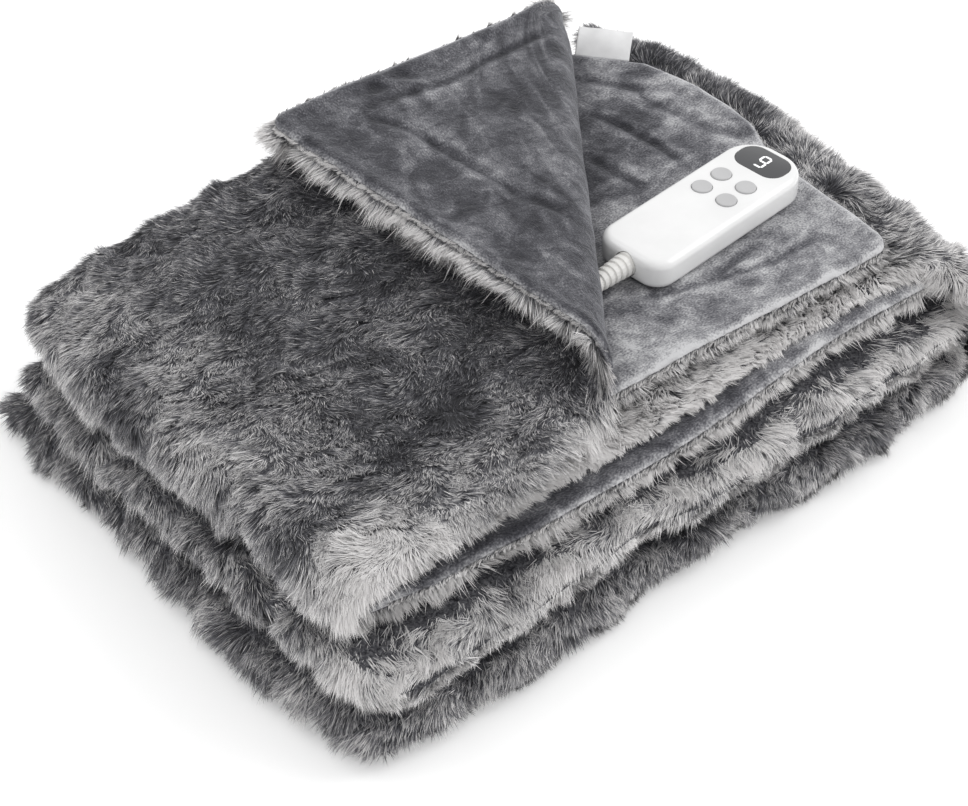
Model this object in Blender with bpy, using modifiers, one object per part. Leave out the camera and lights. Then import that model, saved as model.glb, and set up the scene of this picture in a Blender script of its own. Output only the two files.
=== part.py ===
"""A folded electric throw: faux fur on one face, velvet on the other, and a white
handset with a ribbed strain relief lying on its velvet.

The cloth is one sheet. Its section in XZ is a single path that starts at the upper
hem on the right, doubles back at each fold and ends in the top layer, whose front
corner is turned back as a flap. The path runs along the seam between the two faces:
fur grows to its left as it travels, velvet lies to its right.
Metres, +Z up, origin under the middle of the stack, long side along X.
"""

import math

import bmesh
import bpy
import numpy as np
from mathutils import Vector

MM = 0.001

# ---- cloth -----------------------------------------------------------------
SEAM = 0.3 * MM  # between the fur face and the velvet face
VELVET = 2.5 * MM
LAYER_GAP = 0.8 * MM  # between neighbouring layers
FRINGE = 4 * MM  # how far the pile reaches past a flat hem
VELVET_SETBACK = 1 * MM  # of the velvet's hem inside the fur's
RIM_RADIUS = 2.6 * MM  # of a hem that curls in under its own pile
RIM_ANGLES = (90, 45)  # of the curled rows, outermost first
ROWS_ACROSS = 10  # spans between the front and the back hem
ROW_SHARES = np.linspace(0, 1, ROWS_ACROSS + 1)  # of the way from front hem to back hem
CORNER_ROUNDING = 0.16  # share of a grid step that a free corner is drawn in

# One row a layer, from the floor up: pile depth, the side that the fur is on, the
# hems' places along Y, and how far each hem curls in (0 flat, 1 a full quarter turn).
LAYER_COLUMNS = ("name", "fur", "side", "front", "back", "curl_front", "curl_back")
LAYER_TABLE = (
    ("floor", 14 * MM, -1, -0.160, 0.163, 1.0, 1.0),
    ("low", 13 * MM, 1, -0.159, 0.162, 1.0, 1.0),
    ("middle", 13 * MM, -1, -0.158, 0.160, 1.0, 1.0),
    ("high", 10 * MM, 1, -0.155, 0.158, 1.0, 1.0),
    ("ledge", 10 * MM, -1, -0.147, 0.152, 0.0, 0.0),
    ("inner", 7.5 * MM, 1, -0.130, 0.150, 0.0, 0.0),
    ("shelf", 7.5 * MM, -1, -0.119, 0.150, 0.0, 0.0),
    ("top", 14 * MM, 1, -0.130, 0.156, 0.6, 1.0),
)
LAYERS = [dict(zip(LAYER_COLUMNS, row)) for row in LAYER_TABLE]
NAMES = [row[0] for row in LAYER_TABLE]

# Front hems that aren't straight: X and Y of each bend.
LEDGE_FRONT = ((-0.20, -0.132), (-0.165, -0.141), (-0.10, -0.147), (0.20, -0.141))
SHELF_FRONT = ((-0.20, -0.120), (-0.045, -0.110), (0.035, -0.115), (0.10, -0.121))
TOP_FRONT = ((-0.21, -0.138), (-0.12, -0.133), (-0.055, -0.125), (0.254, -0.068))
FRONT_HEMS = {"ledge": LEDGE_FRONT, "shelf": SHELF_FRONT, "top": TOP_FRONT}

# The shelf's end hem: Y and X of each bend, and where the plain layer would end.
SHELF_END = (
    (-0.122, 0.192),
    (-0.020, 0.190),
    (0.010, 0.202),
    (0.060, 0.204),
    (0.100, 0.198),
    (0.150, 0.170),
)
SHELF_HEM_X = 0.200

# Middles of the round folds along X.
FOLD_X = {
    "floor-low": -0.2230,
    "middle-high": -0.2165,
    "ledge-top": -0.2000,
    "inner-shelf": -0.2000,
    "low-middle": 0.2120,
    "high-ledge": 0.2160,
}
FUR_IN_FOLD = 0.78  # share of the pile's depth left on the inside of a fold

# Spans along each stretch of the path.
RUN_SPANS = 5
FOLD_SPANS = 6
SHELF_SPANS = 10
LEDGE_SPANS = 7
LEDGE_FOLD_SPANS = 9
END_ROLL_SPANS = 14

# The outer roll at the right end, which wraps the stack: X and height of each bend.
END_ROLL = (
    (0.209, None),
    (0.217, 0.0840),
    (0.226, 0.0838),
    (0.2335, 0.0770),
    (0.2355, 0.0640),
    (0.2355, 0.0450),
    (0.2345, 0.0300),
    (0.2300, 0.0195),
    (0.2200, 0.0150),
    (0.205, None),
)
END_ROLL_FUR = 13 * MM
END_ROLL_HEM = {"front": -0.161, "back": 0.160}
END_ROLL_GROWTH = 0.2  # share of the roll over which its pile and hems reach full size

# The turned-back corner of the top layer.
TURN_POINT = np.array((-0.0403, -0.1060))  # on the line where the turn begins
TURN_ANGLE = math.radians(52)  # of that line from X
TURN_RADIUS = 13.8 * MM
FLAP_FUR = 11.5 * MM
FLAP_CORNER = np.array((0.254, -0.068))  # of the sheet before it is turned back
FLAP_END_ANGLE = math.radians(104)  # of the end hem from X, before it is turned back
FLAP_HOLLOW = 3 * MM  # how far the end hem is drawn in at its middle
FLAP_BACK_TRIM = 4 * MM  # and at its back
SHORT_FLAP_TURN = 0.8  # most of a row's length that the roll may take up
HEM_FLATTENS = 0.060  # before the turn, over which the curled hems flatten
FUR_CHANGES = 7 * MM  # past the turn's line, over which the pile shortens
TURN_SPANS = 8
FLAP_SPANS = 7
TOP_SPANS = 12
CORRECTIONS = 12  # repeats that settle where a row meets the turn's line

# How the stack settles. It sinks at the back left, where a band is given as its start
# and its width along -X and Y. Its long sides wander in waves, and its ends are drawn
# in or bulge, given as Y and the shift along X.
SINK = 0.18
SINK_BANDS = {"x": (0.03, 0.19), "y": (-0.11, 0.27)}
RIGHT_BAND = (0.12, 0.10)
LEFT_BAND = (0.10, 0.12)
SIDE_BAND = (0.07, 0.08)
LEFT_WANDER = {"size": 1.5 * MM, "y": 34, "z": 30, "phase": 0.0}
SIDE_WANDER = {"size": 2.5 * MM, "x": 27, "z": 45, "phase": 1.3}
RIGHT_BULGE = ((-0.17, -0.021), (-0.09, -0.008), (0.03, 0.005), (0.10, 0.004), (0.17, -0.014))
LEFT_BULGE = ((-0.17, 0.005), (-0.10, -0.001), (0.06, 0.000), (0.17, 0.008))

# The pile's lumps: waves by their numbers along X, Y and Z, and their phases.
LUMP = 0.30  # share of the pile's depth lost in the hollows between its lumps
LUMP_WAVES = (
    (61, 23, 17, 1.0),
    (-37, 71, 29, 2.1),
    (97, -83, 41, 4.0),
    (43, 109, -67, 0.4),
)

# ---- handset ---------------------------------------------------------------
HANDSET_AT = (0.1125, -0.0424)
HANDSET_TURN = math.radians(4.5)
HANDSET_LENGTH = 0.132
HANDSET_WIDTH = 0.049
HANDSET_HEIGHT = 0.0185
HANDSET_FAR_RADIUS = 0.0205
HANDSET_NEAR_RADIUS = 0.013
HANDSET_EDGE = 5 * MM
WINDOW_AT = 0.0490  # from the handset's middle
WINDOW_SIZE = (0.0190, 0.0300)
WINDOW_CORNER = 7 * MM
WINDOW_DEPTH = 1.2 * MM
BUTTON_MIDDLE = 0.0155  # of the group of four
BUTTON_PITCH = (0.0168, 0.0180)
BUTTON_RADIUS = 5.9 * MM
BUTTON_HEIGHT = 3.2 * MM
BUTTON_PROUD = 0.9 * MM
WELL_CLEARANCE = 0.3 * MM
WELL_FLOOR = 1.0 * MM  # under a button, which is more than it travels
CLEAR = 0.3 * MM  # between touching pieces
SOCKET_DEPTH = 3 * MM  # for the sleeve's end in the housing
RELIEF_LENGTH = 0.0300
RELIEF_TO_CLOTH = 0.6 * MM
RELIEF_RADII = (7.2 * MM, 5.6 * MM)  # at the housing and at the lead
RELIEF_RIBS = 6
RELIEF_GROOVE = 1.1 * MM
RELIEF_COLLAR = 0.6  # plain length at the housing, in pitches of the ribs
GROOVE_SHAPE = ((0.00, 0), (0.08, 1), (0.42, 1), (0.50, 0))  # shares of pitch and depth
TURNED_CLOTH_LENGTH = 0.12  # of the cylinder that shapes the sleeve's end

# ---- label -----------------------------------------------------------------
LABEL_SIZE = (0.034, 0.019, 0.8 * MM)
LABEL_CORNER = 1 * MM
LABEL_FOOT = (0.1840, 0.1195)
LABEL_DIRECTION = math.radians(-52)
LABEL_LEAN = math.radians(38)

SMOOTH_ANGLE = math.radians(35)  # edges sharper than this stay sharp


def clear_scene():
    for thing in list(bpy.data.objects):
        bpy.data.objects.remove(thing, do_unlink=True)


def collection(name):
    made = bpy.data.collections.new(name)
    bpy.context.scene.collection.children.link(made)
    return made


def material(name, colour, roughness, metallic=0.0):
    made = bpy.data.materials.new(name)
    made.use_nodes = True
    shader = made.node_tree.nodes["Principled BSDF"]
    shader.inputs["Base Color"].default_value = (*colour, 1.0)
    shader.inputs["Roughness"].default_value = roughness
    shader.inputs["Metallic"].default_value = metallic
    return made


# ---- the path of the folds ---------------------------------------------------


def stack_heights():
    """Adds each layer's seam height, piling fur, velvet and gaps up from the floor."""
    level = 0.0
    for ply in LAYERS:
        fur = ply["fur"] + SEAM / 2
        velvet = VELVET + SEAM / 2
        ply["seam"] = level + (fur if ply["side"] < 0 else velvet)
        level += fur + velvet + LAYER_GAP


def layer(name):
    return LAYERS[NAMES.index(name)]


def front_of(name, x):
    """The layer's front hem at x."""
    if name in FRONT_HEMS:
        return np.interp(x, *zip(*FRONT_HEMS[name]))
    return layer(name)["front"]


def sample(x, z, start, end, share):
    """One point of the path, with its layers' values blended from start to end."""
    first, last = layer(start), layer(end)

    def mix(column):
        return first[column] * (1 - share) + last[column] * share

    return {
        "x": x,
        "z": z,
        "fur": mix("fur"),
        "front": front_of(start, x) * (1 - share) + front_of(end, x) * share,
        "back": mix("back"),
        "curl_front": mix("curl_front"),
        "curl_back": mix("curl_back"),
    }


def run(name, x_start, x_end, spans):
    """A straight stretch of one layer, without its last point."""
    seam = layer(name)["seam"]
    places = np.linspace(x_start, x_end, spans, endpoint=False)
    return [sample(x, seam, name, name, 0) for x in places]


def fold(start, end, spans):
    """A half turn from one layer to the next, without its last point."""
    below, above = sorted((start, end), key=NAMES.index)
    middle_x = FOLD_X[f"{below}-{above}"]
    first, last = layer(start)["seam"], layer(end)["seam"]
    radius, middle_z = abs(last - first) / 2, (first + last) / 2
    outward = 1 if middle_x > 0 else -1
    climb = 1 if last > first else -1
    inside = layer(start)["side"] == climb  # the fur is on the inside
    points = []
    for share in np.linspace(0, 1, spans, endpoint=False):
        angle = math.pi * share
        point = sample(
            middle_x + outward * radius * math.sin(angle),
            middle_z - climb * radius * math.cos(angle),
            start,
            end,
            share,
        )
        if inside:
            point["fur"] *= 1 - (1 - FUR_IN_FOLD) * math.sin(angle)
            for edge in ("curl_front", "curl_back"):
                point[edge] *= abs(math.cos(angle))
        points.append(point)
    return points


def between(a, b, c, d, t):
    """The Catmull-Rom curve through a, b, c and d, at t of the way from b to c."""
    linear = (c - a) * t
    square = (2 * a - 5 * b + 4 * c - d) * t**2
    cube = (3 * b - a - 3 * c + d) * t**3
    return (2 * b + linear + square + cube) / 2


def end_roll(spans):
    """The outer roll, from the inner layer down to the floor, as a smooth curve."""
    bends = [list(bend) for bend in END_ROLL]
    bends[0][1] = layer("inner")["seam"]
    bends[-1][1] = layer("floor")["seam"]
    bends = np.array(bends, float)
    before = (2 * bends[0, 0] - bends[1, 0], bends[0, 1])
    after = (2 * bends[-1, 0] - bends[-2, 0], bends[-1, 1])
    knots = np.vstack((before, bends, after))
    points = []
    for share in np.linspace(0, 1, spans, endpoint=False):
        place = share * (len(bends) - 1)
        index = int(place)
        x, z = between(*knots[index : index + 4], place - index)
        point = sample(x, z, "inner", "floor", share)
        grown = min(1.0, share / END_ROLL_GROWTH)
        point["fur"] = layer("inner")["fur"] * (1 - grown) + END_ROLL_FUR * grown
        point["front"] = front_of("inner", x) * (1 - grown) + END_ROLL_HEM["front"] * grown
        point["back"] = layer("inner")["back"] * (1 - grown) + END_ROLL_HEM["back"] * grown
        point["curl_front"] = point["curl_back"] = grown
        points.append(point)
    return points


def folded_path():
    """Every point of the section up to where the top layer begins."""
    return [
        *run("shelf", SHELF_HEM_X, FOLD_X["inner-shelf"], SHELF_SPANS),
        *fold("shelf", "inner", FOLD_SPANS),
        *run("inner", FOLD_X["inner-shelf"], END_ROLL[0][0], RUN_SPANS),
        *end_roll(END_ROLL_SPANS),
        *run("floor", END_ROLL[-1][0], FOLD_X["floor-low"], RUN_SPANS),
        *fold("floor", "low", FOLD_SPANS),
        *run("low", FOLD_X["floor-low"], FOLD_X["low-middle"], RUN_SPANS),
        *fold("low", "middle", FOLD_SPANS),
        *run("middle", FOLD_X["low-middle"], FOLD_X["middle-high"], RUN_SPANS),
        *fold("middle", "high", FOLD_SPANS),
        *run("high", FOLD_X["middle-high"], FOLD_X["high-ledge"], RUN_SPANS),
        *fold("high", "ledge", FOLD_SPANS),
        *run("ledge", FOLD_X["high-ledge"], FOLD_X["ledge-top"], LEDGE_SPANS),
        *fold("ledge", "top", LEDGE_FOLD_SPANS),
    ]


# ---- the sheet as a grid of points -----------------------------------------


def folded_sheet(points):
    """The grid of the folded stretch: one line of points a sample, front to back."""
    grid = np.zeros((len(points), len(ROW_SHARES), 3))
    for index, point in enumerate(points):
        grid[index, :, 0] = point["x"]
        grid[index, :, 1] = point["front"] + ROW_SHARES * (point["back"] - point["front"])
        grid[index, :, 2] = point["z"]
    end = np.interp(grid[0, :, 1], *zip(*SHELF_END))
    pull = np.linspace(1, 0, SHELF_SPANS, endpoint=False)[:, None]
    grid[:SHELF_SPANS, :, 0] += pull * (end - SHELF_HEM_X)
    return grid


def dot_past(point, across):
    """How far a flat point lies past the turn's line."""
    return float((point - TURN_POINT) @ across)


def top_sheet():
    """The top layer, with its front corner turned back over a roll.

    Across the turn a flat point at distance d past the line goes round a circle of
    radius R: it is moved to R sin(d / R) past the line and R (1 - cos(d / R)) up, and
    past half a turn it runs back over the layer.
    """
    along = np.array((math.cos(TURN_ANGLE), math.sin(TURN_ANGLE)))
    across = np.array((along[1], -along[0]))
    half_turn = math.pi * TURN_RADIUS

    def flat_y(x, share):
        front = front_of("top", x)
        return front + share * (layer("top")["back"] - front)

    def x_at(distance, share):
        """Where this row is this far past the turn's line, by repeated correction."""
        x = 0.0
        for _ in range(CORRECTIONS):
            y = flat_y(x, share)
            x = TURN_POINT[0] + (distance + (y - TURN_POINT[1]) * along[0]) / across[0]
        return x

    end_along = np.array((math.cos(FLAP_END_ANGLE), math.sin(FLAP_END_ANGLE)))
    lines = TOP_SPANS + TURN_SPANS + FLAP_SPANS + 1
    grid = np.zeros((lines, len(ROW_SHARES), 3))
    past = np.zeros((lines, len(ROW_SHARES)))
    for row, share in enumerate(ROW_SHARES):
        reach = dot_past(FLAP_CORNER, across)
        for _ in range(CORRECTIONS):
            x = x_at(reach, share)
            y = flat_y(x, share)
            x_hem = FLAP_CORNER[0] + (y - FLAP_CORNER[1]) * end_along[0] / end_along[1]
            reach = dot_past(np.array((x_hem, y)), across)
        reach -= FLAP_HOLLOW * math.sin(math.pi * share) + FLAP_BACK_TRIM * share
        turned = min(half_turn, SHORT_FLAP_TURN * reach)
        in_turn = np.linspace(0, turned, TURN_SPANS, endpoint=False)
        in_flap = np.linspace(turned, reach, FLAP_SPANS + 1)
        xs = [
            *np.linspace(FOLD_X["ledge-top"], x_at(0.0, share), TOP_SPANS, endpoint=False),
            *(x_at(distance, share) for distance in (*in_turn, *in_flap)),
        ]
        for step, x in enumerate(xs):
            point = np.array((x, flat_y(x, share)))
            distance = dot_past(point, across)
            height = layer("top")["seam"]
            if distance > 0:
                turn = min(distance, half_turn) / TURN_RADIUS
                back = max(distance - half_turn, 0.0)
                point = point + across * (TURN_RADIUS * math.sin(turn) - back - distance)
                height += TURN_RADIUS * (1 - math.cos(turn))
            grid[step, row] = (*point, height)
            past[step, row] = distance
    return grid, past


def lumps(points):
    """A smooth uneven field between 0 and 1 over space, for the pile's hollows."""
    waves = sum(np.sin(points @ wave[:3] + wave[3]) for wave in LUMP_WAVES)
    return 0.5 + waves / (2 * len(LUMP_WAVES))


def normals_of(grid):
    """Unit normals of a grid of points, towards the fur."""
    along = np.gradient(grid, axis=0)
    across = np.gradient(grid, axis=1)
    found = np.cross(along, across)
    return found / np.maximum(np.linalg.norm(found, axis=-1, keepdims=True), 1e-12)


def rim_rows(grid, normals, curls, edge):
    """The rows past a hem: curled in under the pile, or reaching flat past the hem."""
    row, inner = (0, 1) if edge == "front" else (-1, -2)
    outward = grid[:, row] - grid[:, inner]
    outward /= np.linalg.norm(outward, axis=1, keepdims=True)
    lines = []
    for place, degrees in enumerate(RIM_ANGLES):
        angle = np.radians(degrees) * curls
        reach = FRINGE * (len(RIM_ANGLES) - place) / len(RIM_ANGLES)
        out = (1 - curls) * reach + curls * RIM_RADIUS * np.sin(angle)
        down = curls * RIM_RADIUS * (1 - np.cos(angle))
        lines.append(grid[:, row] + outward * out[:, None] - normals[:, row] * down[:, None])
    return lines


def sheet():
    """Both faces' seam grids and the pile's depth at each point of the fur's."""
    stack_heights()
    path = folded_path()
    top, past = top_sheet()
    grid = np.vstack((folded_sheet(path), top))
    for end, beside in ((0, 1), (-1, -2)):
        grid[end, 0] += CORNER_ROUNDING * (grid[beside, 1] - grid[end, 0])
    normals = normals_of(grid)
    turned = np.clip(past / FUR_CHANGES, 0, 1)
    top_fur = layer("top")["fur"] * (1 - turned) + FLAP_FUR * turned
    path_fur = np.array([point["fur"] for point in path])
    path_fur = np.repeat(path_fur[:, None], len(ROW_SHARES), axis=1)
    fur = np.vstack((path_fur, top_fur))
    curls = {}
    for edge, column in (("front", 0), ("back", -1)):
        towards = np.clip(1 + past[:, column] / HEM_FLATTENS, 0, 1)
        top_curl = layer("top")[f"curl_{edge}"] * (1 - towards)
        curls[edge] = np.append([point[f"curl_{edge}"] for point in path], top_curl)
    before = rim_rows(grid, normals, curls["front"], "front")
    after = rim_rows(grid, normals, curls["back"], "back")[::-1]
    columns = [*before, *(grid[:, row] for row in range(grid.shape[1])), *after]
    fur_grid = np.stack(columns, axis=1)
    rims = len(RIM_ANGLES)
    fur = np.pad(fur, ((0, 0), (rims, rims)), mode="edge")
    velvet_grid = grid.copy()
    for row, inner in ((0, 1), (-1, -2)):
        inward = grid[:, inner] - grid[:, row]
        inward /= np.linalg.norm(inward, axis=1, keepdims=True)
        velvet_grid[:, row] += inward * VELVET_SETBACK
    return fur_grid, fur, velvet_grid


def settle(points):
    """Lets the stack sink at the back left, its sides wander and its ends bulge."""
    x, y, z = points.T

    def rise(value, start, width):
        t = np.clip((value - start) / width, 0, 1)
        return t * t * (3 - 2 * t)

    def wave(shape, axis, along):
        angle = shape[axis] * along + shape["z"] * z + shape["phase"]
        return shape["size"] * np.sin(angle)

    sunk = SINK * rise(-x, *SINK_BANDS["x"]) * rise(y, *SINK_BANDS["y"])
    left = rise(-x, *LEFT_BAND)
    right = rise(x, *RIGHT_BAND)
    sides = rise(-y, *SIDE_BAND) + rise(y, *SIDE_BAND)
    left_shift = np.interp(y, *zip(*LEFT_BULGE)) + wave(LEFT_WANDER, "y", y)
    right_shift = np.interp(y, *zip(*RIGHT_BULGE))
    settled = np.empty_like(points)
    settled[:, 0] = x + left * left_shift + right * right_shift
    settled[:, 1] = y + sides * wave(SIDE_WANDER, "x", x)
    settled[:, 2] = z * (1 - sunk)
    return settled


def shell(name, grid, thickness, depth, outward, owner, look):
    """One face of the cloth: the grid as an open sheet, thickened with Solidify."""
    lines, rows = grid.shape[:2]
    mesh = bpy.data.meshes.new(name)
    numbers = np.arange(lines * rows).reshape(lines, rows)
    corners = (numbers[:-1, :-1], numbers[1:, :-1], numbers[1:, 1:], numbers[:-1, 1:])
    quads = np.stack(corners, axis=-1)
    mesh.from_pydata(grid.reshape(-1, 3).tolist(), [], quads.reshape(-1, 4).tolist())
    thing = bpy.data.objects.new(name, mesh)
    owner.objects.link(thing)
    group = thing.vertex_groups.new(name="depth")
    for index, share in enumerate((depth / thickness).ravel()):
        group.add([index], float(share), "REPLACE")
    solidify = thing.modifiers.new("Solidify", "SOLIDIFY")
    solidify.thickness = thickness
    solidify.offset = outward
    solidify.vertex_group = "depth"
    bpy.context.view_layer.update()
    evaluated = thing.evaluated_get(bpy.context.evaluated_depsgraph_get())
    solid = bpy.data.meshes.new_from_object(evaluated)
    bpy.data.objects.remove(thing)
    places = np.array([vertex.co for vertex in solid.vertices])
    solid.vertices.foreach_set("co", settle(places).ravel())
    solid.update()
    solid.name = name
    solid.shade_smooth()
    made = bpy.data.objects.new(name, solid)
    made.data.materials.append(look)
    owner.objects.link(made)
    return made


def cloth(owner):
    fur_grid, fur, velvet_grid = sheet()
    toward = normals_of(fur_grid)
    depth = fur * np.where(on_floor(fur_grid), 1.0, 1 - LUMP * lumps(fur_grid))
    fur_look = material("faux fur", (0.14, 0.14, 0.16), 0.9)
    velvet_look = material("velvet", (0.11, 0.11, 0.12), 0.6)
    shell("fur_face", fur_grid + toward * SEAM / 2, float(fur.max()), depth, 1.0, owner, fur_look)
    toward = normals_of(velvet_grid)
    thick = np.full(velvet_grid.shape[:2], VELVET)
    shell("velvet_face", velvet_grid - toward * SEAM / 2, VELVET, thick, -1.0, owner, velvet_look)


def on_floor(grid):
    """True where the pile lies flat under the stack."""
    return grid[..., 2] < layer("floor")["seam"] + MM


# ---- handset -----------------------------------------------------------------


def velvet_top():
    """Height of the velvet that the handset lies on."""
    return layer("shelf")["seam"] + SEAM / 2 + VELVET


def finished(bm, name, owner, look, parent=None, at=(0, 0, 0)):
    """Makes an object of a bmesh, in the collection and with its material."""
    mesh = bpy.data.meshes.new(name)
    bm.to_mesh(mesh)
    bm.free()
    thing = bpy.data.objects.new(name, mesh)
    owner.objects.link(thing)
    thing.parent = parent
    thing.location = at
    if look is not None:
        mesh.materials.append(look)
    mesh.shade_smooth()
    mesh.set_sharp_from_angle(angle=SMOOTH_ANGLE)
    return thing


def rounded_slab(size, near_radius, far_radius, corner_segments, edge=0.0, edge_segments=1):
    """A slab with round upright corners, and round edges if edge is given."""
    bm = bmesh.new()
    bmesh.ops.create_cube(bm, size=1.0)
    bmesh.ops.scale(bm, vec=size, verts=bm.verts)
    for side, radius in ((-1, near_radius), (1, far_radius)):
        upright = [
            e
            for e in bm.edges
            if abs(e.verts[0].co.z - e.verts[1].co.z) > size[2] / 2 and e.verts[0].co.x * side > 0
        ]
        bmesh.ops.bevel(
            bm,
            geom=upright,
            offset=radius,
            segments=corner_segments,
            profile=0.5,
            affect="EDGES",
        )
    if edge:
        level = [e for e in bm.edges if abs(e.verts[0].co.z - e.verts[1].co.z) < 1e-6]
        bmesh.ops.bevel(
            bm, geom=level, offset=edge, segments=edge_segments, profile=0.5, affect="EDGES"
        )
    return bm


def cylinder(radius, height, segments):
    bm = bmesh.new()
    bmesh.ops.create_cone(
        bm,
        cap_ends=True,
        segments=segments,
        radius1=radius,
        radius2=radius,
        depth=height,
    )
    return bm


def cut(thing, cutter):
    boolean = thing.modifiers.new(cutter.name, "BOOLEAN")
    boolean.operation = "DIFFERENCE"
    boolean.solver = "EXACT"
    boolean.object = cutter
    cutter.hide_render = True
    cutter.display_type = "WIRE"


def button_places():
    half_x, half_y = BUTTON_PITCH[0] / 2, BUTTON_PITCH[1] / 2
    return [(BUTTON_MIDDLE + i * half_x, j * half_y) for i in (1, -1) for j in (1, -1)]


def handset(owner, cutters):
    """The housing with its window, four buttons and ribbed sleeve."""
    white = material("white gloss plastic", (0.86, 0.86, 0.86), 0.25)
    grey = material("grey button plastic", (0.43, 0.43, 0.44), 0.5)
    dark = material("dark window", (0.06, 0.06, 0.065), 0.2)
    frame = bpy.data.objects.new("handset", None)
    owner.objects.link(frame)
    frame.location = (*HANDSET_AT, velvet_top() + CLEAR)
    frame.rotation_euler = (0, 0, HANDSET_TURN)
    height = HANDSET_HEIGHT
    slab = rounded_slab(
        (HANDSET_LENGTH, HANDSET_WIDTH, height),
        HANDSET_NEAR_RADIUS,
        HANDSET_FAR_RADIUS,
        corner_segments=6,
        edge=HANDSET_EDGE,
        edge_segments=3,
    )
    body = finished(slab, "handset_body", owner, white, frame, (0, 0, height / 2))

    pocket_size = (*WINDOW_SIZE, 2 * WINDOW_DEPTH)
    pocket = rounded_slab(pocket_size, WINDOW_CORNER, WINDOW_CORNER, corner_segments=4)
    cut(body, finished(pocket, "window_pocket", cutters, None, frame, (WINDOW_AT, 0, height)))
    window_size = (*(side - 2 * CLEAR for side in WINDOW_SIZE), WINDOW_DEPTH - CLEAR)
    pane_corner = WINDOW_CORNER - CLEAR
    pane = rounded_slab(window_size, pane_corner, pane_corner, corner_segments=4)
    pane_z = height - window_size[2] / 2
    finished(pane, "handset_window", owner, dark, frame, (WINDOW_AT, 0, pane_z))

    well_depth = BUTTON_HEIGHT - BUTTON_PROUD + WELL_FLOOR
    for number, (x, y) in enumerate(button_places(), start=1):
        well = cylinder(BUTTON_RADIUS + WELL_CLEARANCE, 2 * well_depth, segments=24)
        cut(body, finished(well, f"button_well_{number}", cutters, None, frame, (x, y, height)))
        cap = cylinder(BUTTON_RADIUS, BUTTON_HEIGHT, segments=24)
        rim = [e for e in cap.edges if min(v.co.z for v in e.verts) > 0]
        bmesh.ops.bevel(cap, geom=rim, offset=0.4 * MM, segments=1, affect="EDGES")
        cap_z = height + BUTTON_PROUD - BUTTON_HEIGHT / 2
        finished(cap, f"button_{number}", owner, grey, frame, (x, y, cap_z))

    socket = cylinder(RELIEF_RADII[0] + CLEAR, 2 * SOCKET_DEPTH, segments=24)
    near_face = (-HANDSET_LENGTH / 2, 0, height / 2)
    socket = finished(socket, "relief_socket", cutters, None, frame, near_face)
    socket.rotation_euler = (0, math.pi / 2, 0)
    cut(body, socket)
    strain_relief(owner, cutters, white, frame)


def strain_relief(owner, cutters, look, frame):
    """The ribbed sleeve: a turned profile, its end shaped to the turned-back cloth."""
    length, (near, far) = RELIEF_LENGTH, RELIEF_RADII
    pitch = length / (RELIEF_RIBS + 1)
    profile = [(0, 0), (near, 0)]
    for rib in range(RELIEF_RIBS):
        start = -(rib + RELIEF_COLLAR) * pitch
        radius = near + (far - near) * (rib + 1) / RELIEF_RIBS
        for along, depth in GROOVE_SHAPE:
            profile.append((radius - depth * RELIEF_GROOVE, start - along * pitch))
    profile += [(far, -length), (0, -length)]
    mesh = bpy.data.meshes.new("strain_relief")
    edges = [(i, i + 1) for i in range(len(profile) - 1)]
    mesh.from_pydata([(r, 0, z) for r, z in profile], edges, [])
    sleeve = bpy.data.objects.new("strain_relief", mesh)
    owner.objects.link(sleeve)
    mesh.materials.append(look)
    sleeve.parent = frame
    sleeve.location = (SOCKET_DEPTH - CLEAR - HANDSET_LENGTH / 2, 0, HANDSET_HEIGHT / 2)
    sleeve.rotation_euler = (0, math.pi / 2, 0)
    screw = sleeve.modifiers.new("Screw", "SCREW")
    screw.steps = screw.render_steps = 20
    screw.use_merge_vertices = True
    screw.merge_threshold = 0.00001
    radius = TURN_RADIUS + SEAM / 2 + VELVET + RELIEF_TO_CLOTH
    roll = cylinder(radius, TURNED_CLOTH_LENGTH, segments=48)
    middle = (*TURN_POINT, layer("top")["seam"] + TURN_RADIUS)
    roll = finished(roll, "turned_cloth", cutters, None, None, middle)
    roll.rotation_euler = (0, math.pi / 2, TURN_ANGLE)
    along = Vector((math.cos(TURN_ANGLE), math.sin(TURN_ANGLE), 0))
    near_end = frame.location - Vector((HANDSET_LENGTH / 2, 0, 0))
    roll.location += along * (near_end - roll.location).dot(along)
    cut(sleeve, roll)


def label(owner):
    """The satin tab, sewn to the end hem and leaning out over the outer roll."""
    satin = material("white satin", (0.80, 0.80, 0.80), 0.45)
    slab = rounded_slab(LABEL_SIZE, LABEL_CORNER, LABEL_CORNER, corner_segments=2)
    bmesh.ops.translate(slab, vec=(0, LABEL_SIZE[1] / 2, LABEL_SIZE[2] / 2), verts=slab.verts)
    tab = finished(slab, "label", owner, satin, None, (*LABEL_FOOT, velvet_top() + CLEAR))
    tab.rotation_euler = (LABEL_LEAN, 0, LABEL_DIRECTION)


def stand_on_origin(owner):
    """Moves everything so that the box of the whole stands on the origin, centred."""
    bpy.context.view_layer.update()
    solids = [thing for thing in owner.objects if thing.data]
    corners = [thing.matrix_world @ Vector(corner) for thing in solids for corner in thing.bound_box]
    low = [min(corner[axis] for corner in corners) for axis in range(3)]
    high = [max(corner[axis] for corner in corners) for axis in range(3)]
    shift = Vector(((low[0] + high[0]) / -2, (low[1] + high[1]) / -2, -low[2]))
    for thing in bpy.data.objects:
        if thing.parent is None:
            thing.location += shift


def main():
    clear_scene()
    owner = collection("heated_throw")
    cutters = collection("cutters")
    cloth(owner)
    handset(owner, cutters)
    label(owner)
    stand_on_origin(owner)


main()
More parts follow.
